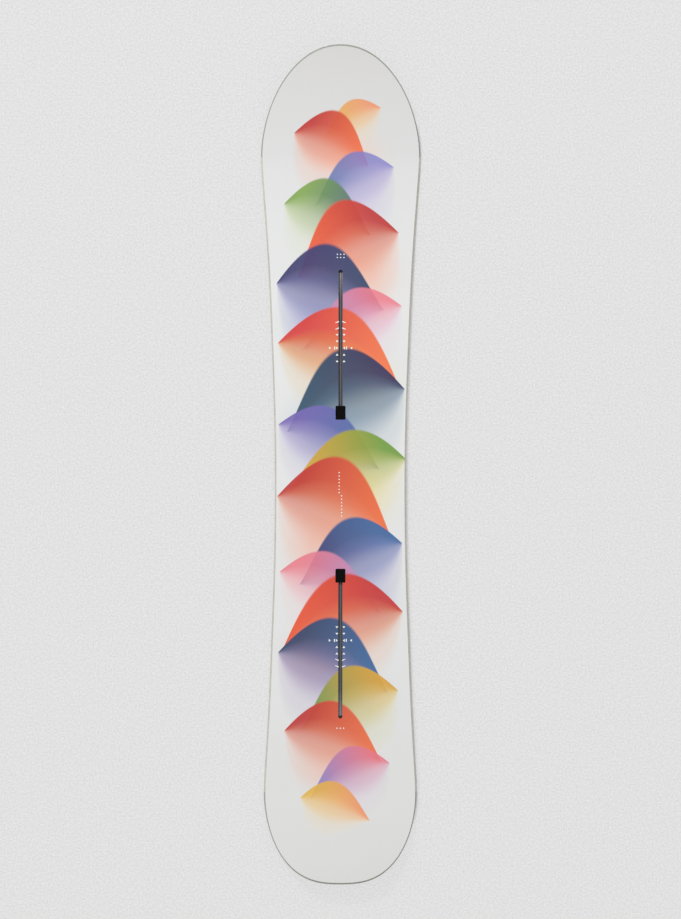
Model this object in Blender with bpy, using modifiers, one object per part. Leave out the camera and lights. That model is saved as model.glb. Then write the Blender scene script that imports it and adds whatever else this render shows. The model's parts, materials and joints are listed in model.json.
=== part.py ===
"""Directional snowboard with two insert channels, built as a pressed stack of separate layers.

Units are metres. X runs across the board, Y runs from tail to nose and Z points up. The board lies on
its base, and the origin is on the floor under the middle of its length.

Each layer is first laid out flat, as x across, y along and a level above the running face of the base.
The press then bends the whole stack to its camber and kicks and thins the core towards the tips, so
that all layers share the same bends and keep the same glue line between them.
"""
import bisect
import math

import bmesh
import bpy
from mathutils import Matrix, Vector

# Plan shape
LENGTH = 1.600
NOSE_WIDTH = 0.306
TAIL_WIDTH = 0.293
WAIST_WIDTH = 0.2512
WAIST_SETBACK = 0.0186
NOSE_REACH = 0.2095
TAIL_REACH = 0.1725
NOSE_ROUND_ACROSS = 2.07
NOSE_ROUND_ALONG = 1.86
TAIL_ROUND_ACROSS = 2.68
TAIL_ROUND_ALONG = 1.94
SIDECUT_BLEND = 30.0
FOOT_SWELL = 0.0010
FOOT_SWELL_LENGTH = 0.110

# Side profile
NOSE_HEIGHT = 0.060
NOSE_RISE = 0.240
TAIL_HEIGHT = 0.045
TAIL_RISE = 0.200
CAMBER = 0.004
CONTACT_FLAT = 0.030

# Stack of layers
GLUE_LINE = 0.0003
BASE_THICKNESS = 0.0012
FLANGE_THICKNESS = 0.0004
LAMINATE_THICKNESS = 0.0006
CORE_THICKNESS = 0.0057
CORE_TIP_THICKNESS = 0.0014
TOPSHEET_THICKNESS = 0.0005

# Widths across the rim
EDGE_WIDTH = 0.0020
FLANGE_WIDTH = 0.0060
LAMINATE_INSET = 0.0002
SIDEWALL_INSET = 0.0003
SIDEWALL_WIDTH = 0.0095
SIDEWALL_LEAN = 0.0019
UPPER_STEP = 0.0002
TOPSHEET_STEP = 0.0004
TIP_LEAN = 0.0003

# Core
STRINGERS_EACH_SIDE = 4
TAPER_MARGIN = 0.020

# Binding channels, measured along the board from the middle of the stance
STANCE_SETBACK = 0.0363
REFERENCE_STANCE = 0.560
CHANNEL_START = 0.1430
SLOT_END = 0.4300
SLOT_WIDTH = 0.0080
RAIL_LIP = 0.0012
RAIL_POCKET_WALL = 0.0015
RAIL_COVER = 0.0008
STOP_LENGTH = 0.0030
INNER_STOP = 0.0015

# Sliding inserts
INSERT_LENGTH = 0.0110
INSERT_FLANGE = 0.0020
INSERT_BEARING = 0.0023
INSERT_PLAY = 0.0004
INSERT_SIDE_PLAY = 0.0003
INSERT_SPACING = 0.0006
THREAD_HOLE = 0.0050
INSERT_PAIR_RATIO = 0.8

# Plugs
PLUG_CAP = 0.0011
PLUG_LEG = 0.0012
PLUG_CORNER = 0.0020
PLUG_RIM = 0.0034
PLUG_DISH = 0.0004
PLUG_SOFTENING = 0.0003

# Fineness of the faceted solids
NOSE_STATIONS = 20
TAIL_STATIONS = 17
CAMBER_STATIONS = 20
NOSE_STEPS = 15
TAIL_STEPS = 15
SLOT_ARC_STEPS = 8
CORNER_STEPS = 3
HOLE_SIDES = 16

# Limits for joining points, far below any real size
WELD = 1e-7
ON_STATION = 2e-5
FLAT_ANGLE = 1e-4
THROUGH = 0.001

# Places that follow from the sizes above
half_length = LENGTH / 2
nose_widest = half_length - NOSE_REACH
tail_widest = -half_length + TAIL_REACH
nose_contact = half_length - NOSE_RISE
tail_contact = -half_length + TAIL_RISE
camber_front = nose_contact - CONTACT_FLAT
camber_rear = tail_contact + CONTACT_FLAT
running_middle = (nose_contact + tail_contact) / 2
waist_place = running_middle - WAIST_SETBACK
stance_centre = running_middle - STANCE_SETBACK

# Levels that follow from the stack
base_top = BASE_THICKNESS
mat_low = base_top + GLUE_LINE
mat_high = mat_low + FLANGE_THICKNESS
lower_laminate_low = mat_high + GLUE_LINE
lower_laminate_high = lower_laminate_low + LAMINATE_THICKNESS
core_low = lower_laminate_high + GLUE_LINE
core_high = core_low + CORE_THICKNESS
upper_laminate_low = core_high + GLUE_LINE
upper_laminate_high = upper_laminate_low + LAMINATE_THICKNESS
topsheet_low = upper_laminate_high + GLUE_LINE
topsheet_high = topsheet_low + TOPSHEET_THICKNESS

# Insets from the rim that follow from the widths
base_inset = EDGE_WIDTH + GLUE_LINE
flange_inset = EDGE_WIDTH + FLANGE_WIDTH
mat_inset = flange_inset + GLUE_LINE
sidewall_top_inset = SIDEWALL_INSET + SIDEWALL_LEAN
sidewall_inner_inset = SIDEWALL_INSET + SIDEWALL_WIDTH
core_inset = sidewall_inner_inset + GLUE_LINE
upper_laminate_inset = sidewall_top_inset + UPPER_STEP
topsheet_inset = upper_laminate_inset + TOPSHEET_STEP
spacer_tip_top_inset = SIDEWALL_INSET + TIP_LEAN
upper_laminate_tip_inset = spacer_tip_top_inset + UPPER_STEP
topsheet_tip_inset = upper_laminate_tip_inset + UPPER_STEP

# Half widths and levels of the channel that follow from the slot and the insert
neck_half = SLOT_WIDTH / 2 - INSERT_SIDE_PLAY
flange_half = neck_half + INSERT_BEARING
cavity_half = flange_half + INSERT_SIDE_PLAY
leg_half = cavity_half + PLUG_LEG
pocket_half = leg_half + GLUE_LINE
channel_half = pocket_half + RAIL_POCKET_WALL
window_half = channel_half + GLUE_LINE
rail_high = upper_laminate_high
cavity_high = rail_high - RAIL_LIP
cavity_low = cavity_high - INSERT_FLANGE - 2 * INSERT_PLAY
rail_low = cavity_low + GLUE_LINE

# Distances along the channel that follow from the insert
pocket_start = CHANNEL_START + INNER_STOP
pocket_length = 2 * INSERT_LENGTH + 3 * INSERT_SPACING
lip_start = pocket_start + pocket_length
channel_end = SLOT_END + STOP_LENGTH
plug_end = lip_start + RAIL_COVER
plug_middle = (CHANNEL_START + plug_end) / 2
inner_insert_parked = pocket_start + INSERT_SPACING + INSERT_LENGTH / 2
outer_insert_parked = inner_insert_parked + INSERT_LENGTH + INSERT_SPACING
outer_insert_travel = SLOT_END - SLOT_WIDTH / 2 - INSERT_LENGTH / 2 - outer_insert_parked
inner_insert_travel = INSERT_PAIR_RATIO * outer_insert_travel

FRONT = 1
REAR = -1

COLOURS = {
    "sintered base": ((0.012, 0.012, 0.013), 0.45, 0.0),
    "edge steel": ((0.42, 0.42, 0.41), 0.32, 1.0),
    "damping rubber": ((0.02, 0.02, 0.02), 0.85, 0.0),
    "glass laminate": ((0.52, 0.50, 0.36), 0.40, 0.0),
    "poplar": ((0.68, 0.52, 0.33), 0.60, 0.0),
    "beech": ((0.50, 0.31, 0.17), 0.60, 0.0),
    "tip filler": ((0.09, 0.095, 0.09), 0.50, 0.0),
    "sidewall plastic": ((0.52, 0.49, 0.44), 0.45, 0.0),
    "topsheet lacquer": ((0.74, 0.74, 0.72), 0.22, 0.0),
    "channel plastic": ((0.10, 0.10, 0.105), 0.60, 0.0),
    "rail aluminium": ((0.20, 0.20, 0.21), 0.40, 1.0),
    "plug plastic": ((0.006, 0.006, 0.007), 0.40, 0.0),
    "insert steel": ((0.55, 0.54, 0.52), 0.35, 1.0),
}


def clear_scene():
    """Remove every object, mesh and curve that the file holds."""
    for obj in list(bpy.data.objects):
        bpy.data.objects.remove(obj, do_unlink=True)
    for collection in list(bpy.data.collections):
        bpy.data.collections.remove(collection)


def new_collection(name):
    collection = bpy.data.collections.new(name)
    bpy.context.scene.collection.children.link(collection)
    return collection


def material(name):
    """A Principled material in the colour, roughness and metallic value of its finish."""
    found = bpy.data.materials.get(name)
    if found:
        return found
    colour, roughness, metallic = COLOURS[name]
    made = bpy.data.materials.new(name)
    made.use_nodes = True
    shader = made.node_tree.nodes["Principled BSDF"]
    shader.inputs["Base Color"].default_value = (*colour, 1.0)
    shader.inputs["Roughness"].default_value = roughness
    shader.inputs["Metallic"].default_value = metallic
    made.diffuse_color = (*colour, 1.0)
    return made


# Side profile of the running face and its slope


def arc_radius(height, rise):
    """Radius of the arc that leaves the floor level and reaches a height over a distance."""
    return (rise * rise + height * height) / (2 * height)


def profile(y):
    """Height and slope angle of the running face at a place along the board."""
    if y > nose_contact:
        radius = arc_radius(NOSE_HEIGHT, NOSE_RISE)
        angle = math.asin((y - nose_contact) / radius)
        return radius * (1 - math.cos(angle)), angle
    if y < tail_contact:
        radius = arc_radius(TAIL_HEIGHT, TAIL_RISE)
        angle = math.asin((tail_contact - y) / radius)
        return radius * (1 - math.cos(angle)), -angle
    if camber_rear < y < camber_front:
        half = (camber_front - camber_rear) / 2
        share = (y - (camber_front + camber_rear) / 2) / half
        height = CAMBER * (1 - share ** 2) ** 2
        slope = -4 * CAMBER * share * (1 - share ** 2) / half
        return height, math.atan(slope)
    return 0.0, 0.0


def spread(start, end, steps):
    """Evenly spaced places from start towards end, with the start and without the end."""
    return [start + (end - start) * step / steps for step in range(steps)]


def press_stations():
    """Places along the board where the pressed stack bends."""
    places = spread(-half_length, tail_contact, TAIL_STATIONS)
    places += [tail_contact]
    places += spread(camber_rear, camber_front, CAMBER_STATIONS)
    places += [camber_front]
    places += spread(nose_contact, half_length, NOSE_STATIONS)
    places += [half_length]
    return places


STATIONS = press_stations()
BENDS = [profile(place) for place in STATIONS]

taper_front = stance_centre + channel_end + TAPER_MARGIN
taper_rear = stance_centre - channel_end - TAPER_MARGIN


def core_thickness(y):
    """Core thickness along the board: full over the channels, thin past the widest places."""
    if y > taper_front:
        share = min(1.0, (y - taper_front) / (nose_widest - taper_front))
    elif y < taper_rear:
        share = min(1.0, (taper_rear - y) / (taper_rear - tail_widest))
    else:
        share = 0.0
    return CORE_THICKNESS + share * (CORE_TIP_THICKNESS - CORE_THICKNESS)


def thinned(level, y):
    """Level in the stack after the core has been thinned at this place."""
    thickness = core_thickness(y)
    if level <= core_low:
        return level
    if level >= core_high:
        return level - (CORE_THICKNESS - thickness)
    return core_low + (level - core_low) * thickness / CORE_THICKNESS


def station_point(index, level):
    """Where a level of the stack lies at one station, as y and z."""
    height, angle = BENDS[index]
    real_level = thinned(level, STATIONS[index])
    along = STATIONS[index] - real_level * math.sin(angle)
    return along, height + real_level * math.cos(angle)


def pressed(x, y, level):
    """Move a point of the flat stack to its place in the pressed board."""
    index = min(max(bisect.bisect_right(STATIONS, y) - 1, 0), len(STATIONS) - 2)
    share = (y - STATIONS[index]) / (STATIONS[index + 1] - STATIONS[index])
    near_y, near_z = station_point(index, level)
    far_y, far_z = station_point(index + 1, level)
    return Vector((x, near_y + share * (far_y - near_y), near_z + share * (far_z - near_z)))


# Plan shape: the rim and its insets


def sidecut_half_width(y):
    """Half width along the sidecut.

    Each side of the waist is a parabola that turns level at the widest place, with a slight swell
    under each foot.
    """
    widest, half_width = (nose_widest, NOSE_WIDTH / 2) if y > waist_place else (tail_widest, TAIL_WIDTH / 2)
    share = abs((y - waist_place) / (widest - waist_place))
    turn = 2 / (SIDECUT_BLEND - 2)
    rise = (1 + turn) * share ** 2 - turn * share ** SIDECUT_BLEND
    swell = 0.0
    for side in (FRONT, REAR):
        foot = stance_centre + side * REFERENCE_STANCE / 2
        swell += FOOT_SWELL * math.exp(-((y - foot) / FOOT_SWELL_LENGTH) ** 2)
    return WAIST_WIDTH / 2 + (half_width - WAIST_WIDTH / 2) * rise + swell * (1 - share ** SIDECUT_BLEND)


def tip_points(side, widest, width, reach, across, along, steps):
    """Rim points of one tip as x, y, inward normal and tip share, from the widest place to the tip.

    The tip is a superellipse: its exponents set how round it is across and along the board.
    """
    points = []
    for step in range(1, steps + 1):
        turn = math.pi / 2 * step / steps
        x_share = math.cos(turn) ** (2 / across) if step < steps else 0.0
        y_share = math.sin(turn) ** (2 / along)
        normal = Vector((x_share ** (across - 1) * across / (width / 2),
                         side * y_share ** (along - 1) * along / reach)).normalized()
        points.append((width / 2 * x_share, widest + side * reach * y_share, normal, math.sin(turn) ** 2))
    return points


def rim_points():
    """Right-hand rim from the tail's tip to the nose's tip."""
    tail = tip_points(REAR, tail_widest, TAIL_WIDTH, TAIL_REACH, TAIL_ROUND_ACROSS, TAIL_ROUND_ALONG,
                      TAIL_STEPS)
    nose = tip_points(FRONT, nose_widest, NOSE_WIDTH, NOSE_REACH, NOSE_ROUND_ACROSS, NOSE_ROUND_ALONG,
                      NOSE_STEPS)
    places = [tail_widest]
    places += [place for place in STATIONS
               if tail_widest + ON_STATION < place < nose_widest - ON_STATION]
    places += [nose_widest]
    sides = []
    for place in places:
        slope = (sidecut_half_width(place + THROUGH) - sidecut_half_width(place - THROUGH)) / (2 * THROUGH)
        across = Vector((math.hypot(1.0, slope), 0.0))
        sides.append((sidecut_half_width(place), place, across, 0.0))
    return list(reversed(tail)) + sides + nose


RIM = rim_points()


def inset_rim(side_inset, tip_inset=None):
    """Right-hand rim moved inwards; the inset may change from the sides to the tips."""
    if tip_inset is None:
        tip_inset = side_inset
    line = []
    for x, y, normal, tip_share in RIM:
        inset = side_inset + (tip_inset - side_inset) * tip_share
        line.append((x - inset * normal.x, y - inset * normal.y))
    return line


def closed_outline(side_inset, tip_inset=None):
    """The whole outline as one loop."""
    right = inset_rim(side_inset, tip_inset)
    left = [(-x, y) for x, y in reversed(right[1:-1])]
    return right + left


def nearest_rim_point(place):
    """Number of the rim point that lies nearest to a place along the board."""
    return min(range(len(RIM)), key=lambda index: abs(RIM[index][1] - place))


TIP_END = len(RIM) - 1
BASE_BREAKS = (nearest_rim_point(tail_widest), nearest_rim_point(nose_widest))
MAT_BREAKS = (nearest_rim_point(tail_contact), nearest_rim_point(nose_contact))


def end_lengths(breaks):
    """Name and rim points of the three lengths that a sheet is laid in."""
    rear, front = breaks
    return (("tail", range(0, rear + 1)),
            ("running", range(rear, front + 1)),
            ("nose", range(front, TIP_END + 1)))


def one_length(line, points, breaks):
    """The stretch of an inset rim that one length takes, half a glue line short of each break."""
    stretch = [line[index] for index in points]
    for end, inwards in ((0, 1), (-1, -1)):
        if points[end] in breaks:
            x, y = stretch[end]
            stretch[end] = (x, y + inwards * GLUE_LINE / 2)
    return stretch


def clipped(line, low, high):
    """The stretch of a rim line between two places along the board, with its ends on them."""
    inside = [point for point in line if low + ON_STATION < point[1] < high - ON_STATION]

    def width_at(place):
        for (x0, y0), (x1, y1) in zip(line, line[1:]):
            if y0 <= place <= y1:
                return x0 + (x1 - x0) * (place - y0) / (y1 - y0)
        return line[0][0] if place < line[0][1] else line[-1][0]

    return [(width_at(low), low)] + inside + [(width_at(high), high)]


# Making solids


def evaluated_mesh(obj, name):
    """A mesh of the object as its modifiers or its curve settings make it."""
    bpy.context.view_layer.update()
    depsgraph = bpy.context.evaluated_depsgraph_get()
    mesh = bpy.data.meshes.new_from_object(obj.evaluated_get(depsgraph))
    mesh.name = name
    return mesh


def flat_solid(name, loops, low, high):
    """A flat sheet between two levels. The first loop is its outline and the others are holes."""
    curve = bpy.data.curves.new(name, "CURVE")
    curve.dimensions = "2D"
    curve.fill_mode = "BOTH"
    curve.extrude = (high - low) / 2
    for loop in loops:
        spline = curve.splines.new("POLY")
        spline.points.add(len(loop) - 1)
        for point, (x, y) in zip(spline.points, loop):
            point.co = (x, y, 0.0, 1.0)
        spline.use_cyclic_u = True
    obj = bpy.data.objects.new(name, curve)
    bpy.context.scene.collection.objects.link(obj)
    mesh = evaluated_mesh(obj, name)
    bpy.data.objects.remove(obj)
    mesh.transform(Matrix.Translation((0.0, 0.0, (low + high) / 2)))
    solid = bmesh.new()
    solid.from_mesh(mesh)
    bpy.data.meshes.remove(mesh)
    bmesh.ops.remove_doubles(solid, verts=solid.verts, dist=WELD)
    bmesh.ops.dissolve_limit(solid, angle_limit=FLAT_ANGLE, verts=solid.verts, edges=solid.edges)
    return solid


def lofted(sections):
    """A closed solid through rings of points, with a face over each end."""
    solid = bmesh.new()
    rings = [[solid.verts.new(point) for point in section] for section in sections]
    for near, far in zip(rings, rings[1:]):
        for index in range(len(near)):
            following = (index + 1) % len(near)
            solid.faces.new((near[index], near[following], far[following], far[index]))
    solid.faces.new(list(reversed(rings[0])))
    solid.faces.new(rings[-1])
    return solid


def box_mesh(name, low, high):
    """A box between two corners."""
    solid = bmesh.new()
    bmesh.ops.create_cube(solid, size=1.0)
    low = Vector(low)
    high = Vector(high)
    size = high - low
    bmesh.ops.scale(solid, vec=size, verts=solid.verts)
    bmesh.ops.translate(solid, vec=(low + high) / 2, verts=solid.verts)
    mesh = bpy.data.meshes.new(name)
    solid.to_mesh(mesh)
    solid.free()
    return mesh


def mesh_from(solid, name):
    """Finish a bmesh with its faces pointing out."""
    bmesh.ops.recalc_face_normals(solid, faces=solid.faces)
    mesh = bpy.data.meshes.new(name)
    solid.to_mesh(mesh)
    solid.free()
    return mesh


def press(solid, name):
    """Cut a flat solid at the stations and bend it to its place in the board."""
    low = min(vert.co.y for vert in solid.verts)
    high = max(vert.co.y for vert in solid.verts)
    for place in STATIONS:
        if low < place < high:
            everything = list(solid.verts) + list(solid.edges) + list(solid.faces)
            bmesh.ops.bisect_plane(solid, geom=everything, dist=ON_STATION, plane_co=(0.0, place, 0.0),
                                   plane_no=(0.0, 1.0, 0.0))
    for vert in solid.verts:
        vert.co = pressed(*vert.co)
    return mesh_from(solid, name)


class Board:
    """Holds the collections, the parent empty and the ways to add pieces to them."""

    def __init__(self):
        self.parts = new_collection("snowboard")
        self.cutters = new_collection("cutters")
        self.origin = bpy.data.objects.new("board_origin", None)
        self.parts.objects.link(self.origin)

    def add(self, name, mesh, finish, location=(0.0, 0.0, 0.0), tilt=0.0):
        """A piece with its finish, placed by its location and its tilt about X."""
        mesh.name = name
        mesh.materials.clear()
        mesh.materials.append(material(finish))
        obj = bpy.data.objects.new(name, mesh)
        obj.location = location
        obj.rotation_euler = (tilt, 0.0, 0.0)
        obj.parent = self.origin
        self.parts.objects.link(obj)
        return obj

    def tool(self, name, mesh, like=None):
        """A hidden solid that cuts or joins another, placed like the piece it works on."""
        obj = bpy.data.objects.new(name, mesh)
        obj.hide_render = True
        obj.display_type = "WIRE"
        if like:
            obj.location = like.location
            obj.rotation_euler = like.rotation_euler
        self.cutters.objects.link(obj)
        return obj

    def flat_cut(self, name, blank, cutters):
        """A flat blank less its cutters, as a bmesh that the press can take."""
        piece = bpy.data.objects.new(name, blank)
        self.cutters.objects.link(piece)
        for cutter in cutters:
            combine(piece, cutter, "DIFFERENCE")
        mesh = evaluated_mesh(piece, name)
        bpy.data.objects.remove(piece)
        solid = bmesh.new()
        solid.from_mesh(mesh)
        bpy.data.meshes.remove(mesh)
        bmesh.ops.dissolve_limit(solid, angle_limit=FLAT_ANGLE, verts=solid.verts, edges=solid.edges)
        return solid


def combine(obj, other, operation):
    """Add a Boolean of another solid to a piece."""
    modifier = obj.modifiers.new(other.name, "BOOLEAN")
    modifier.operation = operation
    modifier.solver = "EXACT"
    modifier.object = other


# Layers


def build_lengths(board, layer, inset, low, high, breaks, finish):
    """A sheet laid in three lengths, with a butt joint at each break."""
    line = inset_rim(inset)
    for end_name, points in end_lengths(breaks):
        name = f"{layer}_{end_name}"
        right = one_length(line, points, breaks)
        left = [(-x, y) for x, y in reversed(right) if x > WELD]
        solid = flat_solid(name, [right + left], low, high)
        board.add(name, press(solid, name), finish)


def build_lower_sheets(board):
    """Base, damping mat with its joints staggered from the base's, and lower laminate."""
    build_lengths(board, "base", base_inset, 0.0, base_top, BASE_BREAKS, "sintered base")
    build_lengths(board, "damping_mat", mat_inset, mat_low, mat_high, MAT_BREAKS, "damping rubber")
    name = "lower_laminate"
    solid = flat_solid(name, [closed_outline(LAMINATE_INSET)], lower_laminate_low, lower_laminate_high)
    board.add(name, press(solid, name), "glass laminate")


def channel_place(side, distance):
    """A place along the board, from the distance to the middle of the stance."""
    return stance_centre + side * distance


def box_outline(half_width, start, end, side):
    """A rectangle across the centre line, between two distances along a channel."""
    near = channel_place(side, start)
    far = channel_place(side, end)
    return [(half_width, near), (half_width, far), (-half_width, far), (-half_width, near)]


def slot_arc():
    """The slot's round end, from its right side to its left, as x and distance."""
    radius = SLOT_WIDTH / 2
    arc = []
    for step in range(SLOT_ARC_STEPS + 1):
        turn = math.pi * step / SLOT_ARC_STEPS
        arc.append((radius * math.cos(turn), SLOT_END - radius + radius * math.sin(turn)))
    return arc


def corner_arc(x, distance, radius, start_turn):
    """A quarter turn about a corner's centre, as x and distance."""
    arc = []
    for step in range(CORNER_STEPS + 1):
        turn = start_turn + math.pi / 2 * step / CORNER_STEPS
        arc.append((x + radius * math.cos(turn), distance + radius * math.sin(turn)))
    return arc


def rounded_window(half_width, start, end, radius):
    """A rounded rectangle, from its outer left corner round to its outer right one."""
    quarter = math.pi / 2
    inner_x = half_width - radius
    points = corner_arc(-inner_x, end - radius, radius, quarter)
    points += corner_arc(-inner_x, start + radius, radius, 2 * quarter)
    points += corner_arc(inner_x, start + radius, radius, 3 * quarter)
    points += corner_arc(inner_x, end - radius, radius, 4 * quarter)
    return points


def mouth_outline(side):
    """The opening in the topsheet: the plug's window and the slot that runs out of it."""
    window_end = plug_end + GLUE_LINE
    window = rounded_window(window_half, CHANNEL_START - GLUE_LINE, window_end, PLUG_CORNER + GLUE_LINE)
    half = SLOT_WIDTH / 2
    points = [(half, window_end)] + slot_arc() + [(-half, window_end)] + window
    return [(x, channel_place(side, distance)) for x, distance in points]


def build_top(board):
    """Upper laminate with a window over each channel, and topsheet with its two mouths."""
    windows = [box_outline(window_half, CHANNEL_START - GLUE_LINE, channel_end + GLUE_LINE, side)
               for side in (FRONT, REAR)]
    outline = closed_outline(upper_laminate_inset, upper_laminate_tip_inset)
    solid = flat_solid("upper_laminate", [outline] + windows, upper_laminate_low, upper_laminate_high)
    board.add("upper_laminate", press(solid, "upper_laminate"), "glass laminate")
    outline = closed_outline(topsheet_inset, topsheet_tip_inset)
    mouths = [mouth_outline(side) for side in (FRONT, REAR)]
    solid = flat_solid("topsheet", [outline] + mouths, topsheet_low, topsheet_high)
    board.add("topsheet", press(solid, "topsheet"), "topsheet lacquer")


def carried(section, lines, hand):
    """Rings of a section of insets and levels, carried along its rim lines on one side."""
    return [[(hand * x, y, level) for (x, y), (_, level) in zip(points, section)]
            for points in zip(*lines)]


def build_edges(board):
    """Steel edges with an L section: one along each side, and one round each tip."""
    section = ((0.0, 0.0), (EDGE_WIDTH, 0.0), (EDGE_WIDTH, mat_low), (flange_inset, mat_low),
               (flange_inset, mat_high), (0.0, mat_high))
    rims = [inset_rim(inset) for inset, _ in section]
    for end_name, points in end_lengths(BASE_BREAKS):
        lines = [one_length(rim, points, BASE_BREAKS) for rim in rims]
        right = carried(section, lines, 1)
        left = carried(section, lines, -1)
        if end_name == "running":
            edges = {"steel_edge_right": right, "steel_edge_left": left}
        elif end_name == "tail":
            edges = {"steel_edge_tail": right[:0:-1] + left}
        else:
            edges = {"steel_edge_nose": right + left[-2::-1]}
        for name, rings in edges.items():
            board.add(name, press(lofted(rings), name), "edge steel")


def build_sidewalls(board):
    """Two sidewalls whose outer face leans in to the topsheet, between the widest places."""
    section = ((SIDEWALL_INSET, core_low), (sidewall_top_inset, core_high),
               (sidewall_inner_inset, core_high), (sidewall_inner_inset, core_low))
    lines = [clipped(inset_rim(inset), tail_widest, nose_widest) for inset, _ in section]
    for name, hand in (("sidewall_right", 1), ("sidewall_left", -1)):
        board.add(name, press(lofted(carried(section, lines, hand)), name), "sidewall plastic")


def build_spacers(board):
    """The fillers that carry on the core and the sidewalls round each tip."""
    for name, side, widest in (("nose_spacer", FRONT, nose_widest), ("tail_spacer", REAR, tail_widest)):
        start = widest + side * GLUE_LINE
        rings = []
        for tip_inset, inset, level in ((SIDEWALL_INSET, SIDEWALL_INSET, core_low),
                                        (spacer_tip_top_inset, sidewall_top_inset, core_high)):
            right = inset_rim(inset, tip_inset)
            if side == REAR:
                right = list(reversed(right))
            first = next(index for index, point in enumerate(right) if side * (point[1] - start) > 0)
            right = [(right[first - 1][0], start)] + right[first:]
            left = [(-x, y) for x, y in reversed(right[:-1])]
            rings.append([(x, y, level) for x, y in right + left])
        board.add(name, press(lofted(rings), name), "tip filler")


def stringer_loops():
    """Name, rank from the middle and outline of each stringer.

    The middle one comes in three lengths, beyond and between the two channels. The outermost ones
    follow the sidewalls, and the others are straight.
    """
    gap = GLUE_LINE / 2
    middle_half = channel_half + gap
    pitch = (WAIST_WIDTH / 2 - core_inset - middle_half) / STRINGERS_EACH_SIDE
    start = channel_place(REAR, channel_end) - GLUE_LINE
    end = channel_place(FRONT, channel_end) + GLUE_LINE
    lengths = (("tail", tail_widest, start),
               ("waist", channel_place(REAR, CHANNEL_START) + GLUE_LINE,
                channel_place(FRONT, CHANNEL_START) - GLUE_LINE),
               ("nose", end, nose_widest))
    stringers = []
    for name, near, far in lengths:
        loop = [(-channel_half, near), (channel_half, near), (channel_half, far), (-channel_half, far)]
        stringers.append((f"core_middle_{name}", 0, loop))
    core_rim = clipped(inset_rim(core_inset), tail_widest, nose_widest)
    for hand, hand_name in ((-1, "left"), (1, "right")):
        for rank in range(1, STRINGERS_EACH_SIDE + 1):
            inner = hand * (middle_half + (rank - 1) * pitch + gap)
            outer = hand * (middle_half + rank * pitch - gap)
            if rank < STRINGERS_EACH_SIDE:
                outside = [(outer, tail_widest), (outer, nose_widest)]
            else:
                outside = [(hand * x, y) for x, y in core_rim]
            loop = outside + [(inner, nose_widest), (inner, tail_widest)]
            stringers.append((f"core_stringer_{hand_name}_{rank}", rank, loop))
    return stringers


def build_core(board):
    """Laminated stringers along the board, of two woods in turn."""
    for name, rank, loop in stringer_loops():
        solid = flat_solid(name, [loop], core_low, core_high)
        wood = "beech" if rank % 2 == 0 else "poplar"
        board.add(name, press(solid, name), wood)


# Channels


def channel_box(name, half_width, start, end, low, high, side):
    """A box across the centre line between two distances along a channel and two levels."""
    places = sorted((channel_place(side, start), channel_place(side, end)))
    return box_mesh(name, (-half_width, places[0], low), (half_width, places[1], high))


def build_channel_bed(board, end_name, side):
    """The floor strip that the rails stand on, and the blocks that stop the inserts at both ends."""
    pieces = (
        (f"{end_name}_channel_floor", channel_half, CHANNEL_START, channel_end, core_low, cavity_low),
        (f"{end_name}_channel_outer_stop", neck_half, SLOT_END, channel_end, rail_low, rail_high),
        (f"{end_name}_channel_inner_stop", leg_half, CHANNEL_START, pocket_start, rail_low, rail_high),
    )
    for name, half_width, start, end, low, high in pieces:
        solid = bmesh.new()
        solid.from_mesh(channel_box(name, half_width, start, end, low, high, side))
        board.add(name, press(solid, name), "channel plastic")


def build_rails(board, end_name, side):
    """The two rails of a track: a wall each, with a lip that leaves the slot between them.

    Beside the entry pocket the lips are cut away and the walls are thinned for the plug's legs.
    """
    for hand, hand_name in ((-1, "left"), (1, "right")):
        name = f"{end_name}_rail_{hand_name}"
        lip = hand * SLOT_WIDTH / 2

        def bar(bar_name, inner, outer, start, end, low, high):
            places = sorted((channel_place(side, start), channel_place(side, end)))
            across = sorted((inner, outer))
            return box_mesh(bar_name, (across[0], places[0], low), (across[1], places[1], high))

        blank = bar(name, lip, hand * channel_half, CHANNEL_START, channel_end, rail_low, rail_high)
        cavity = bar(f"{name}_cavity", 0.0, hand * cavity_half, CHANNEL_START - THROUGH,
                     channel_end + THROUGH, rail_low - THROUGH, cavity_high)
        pocket = bar(f"{name}_pocket", 0.0, hand * pocket_half, CHANNEL_START - THROUGH, lip_start,
                     rail_low - THROUGH, rail_high + THROUGH)
        tools = [board.tool(mesh.name, mesh) for mesh in (cavity, pocket)]
        board.add(name, press(board.flat_cut(name, blank, tools), name), "rail aluminium")


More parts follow.
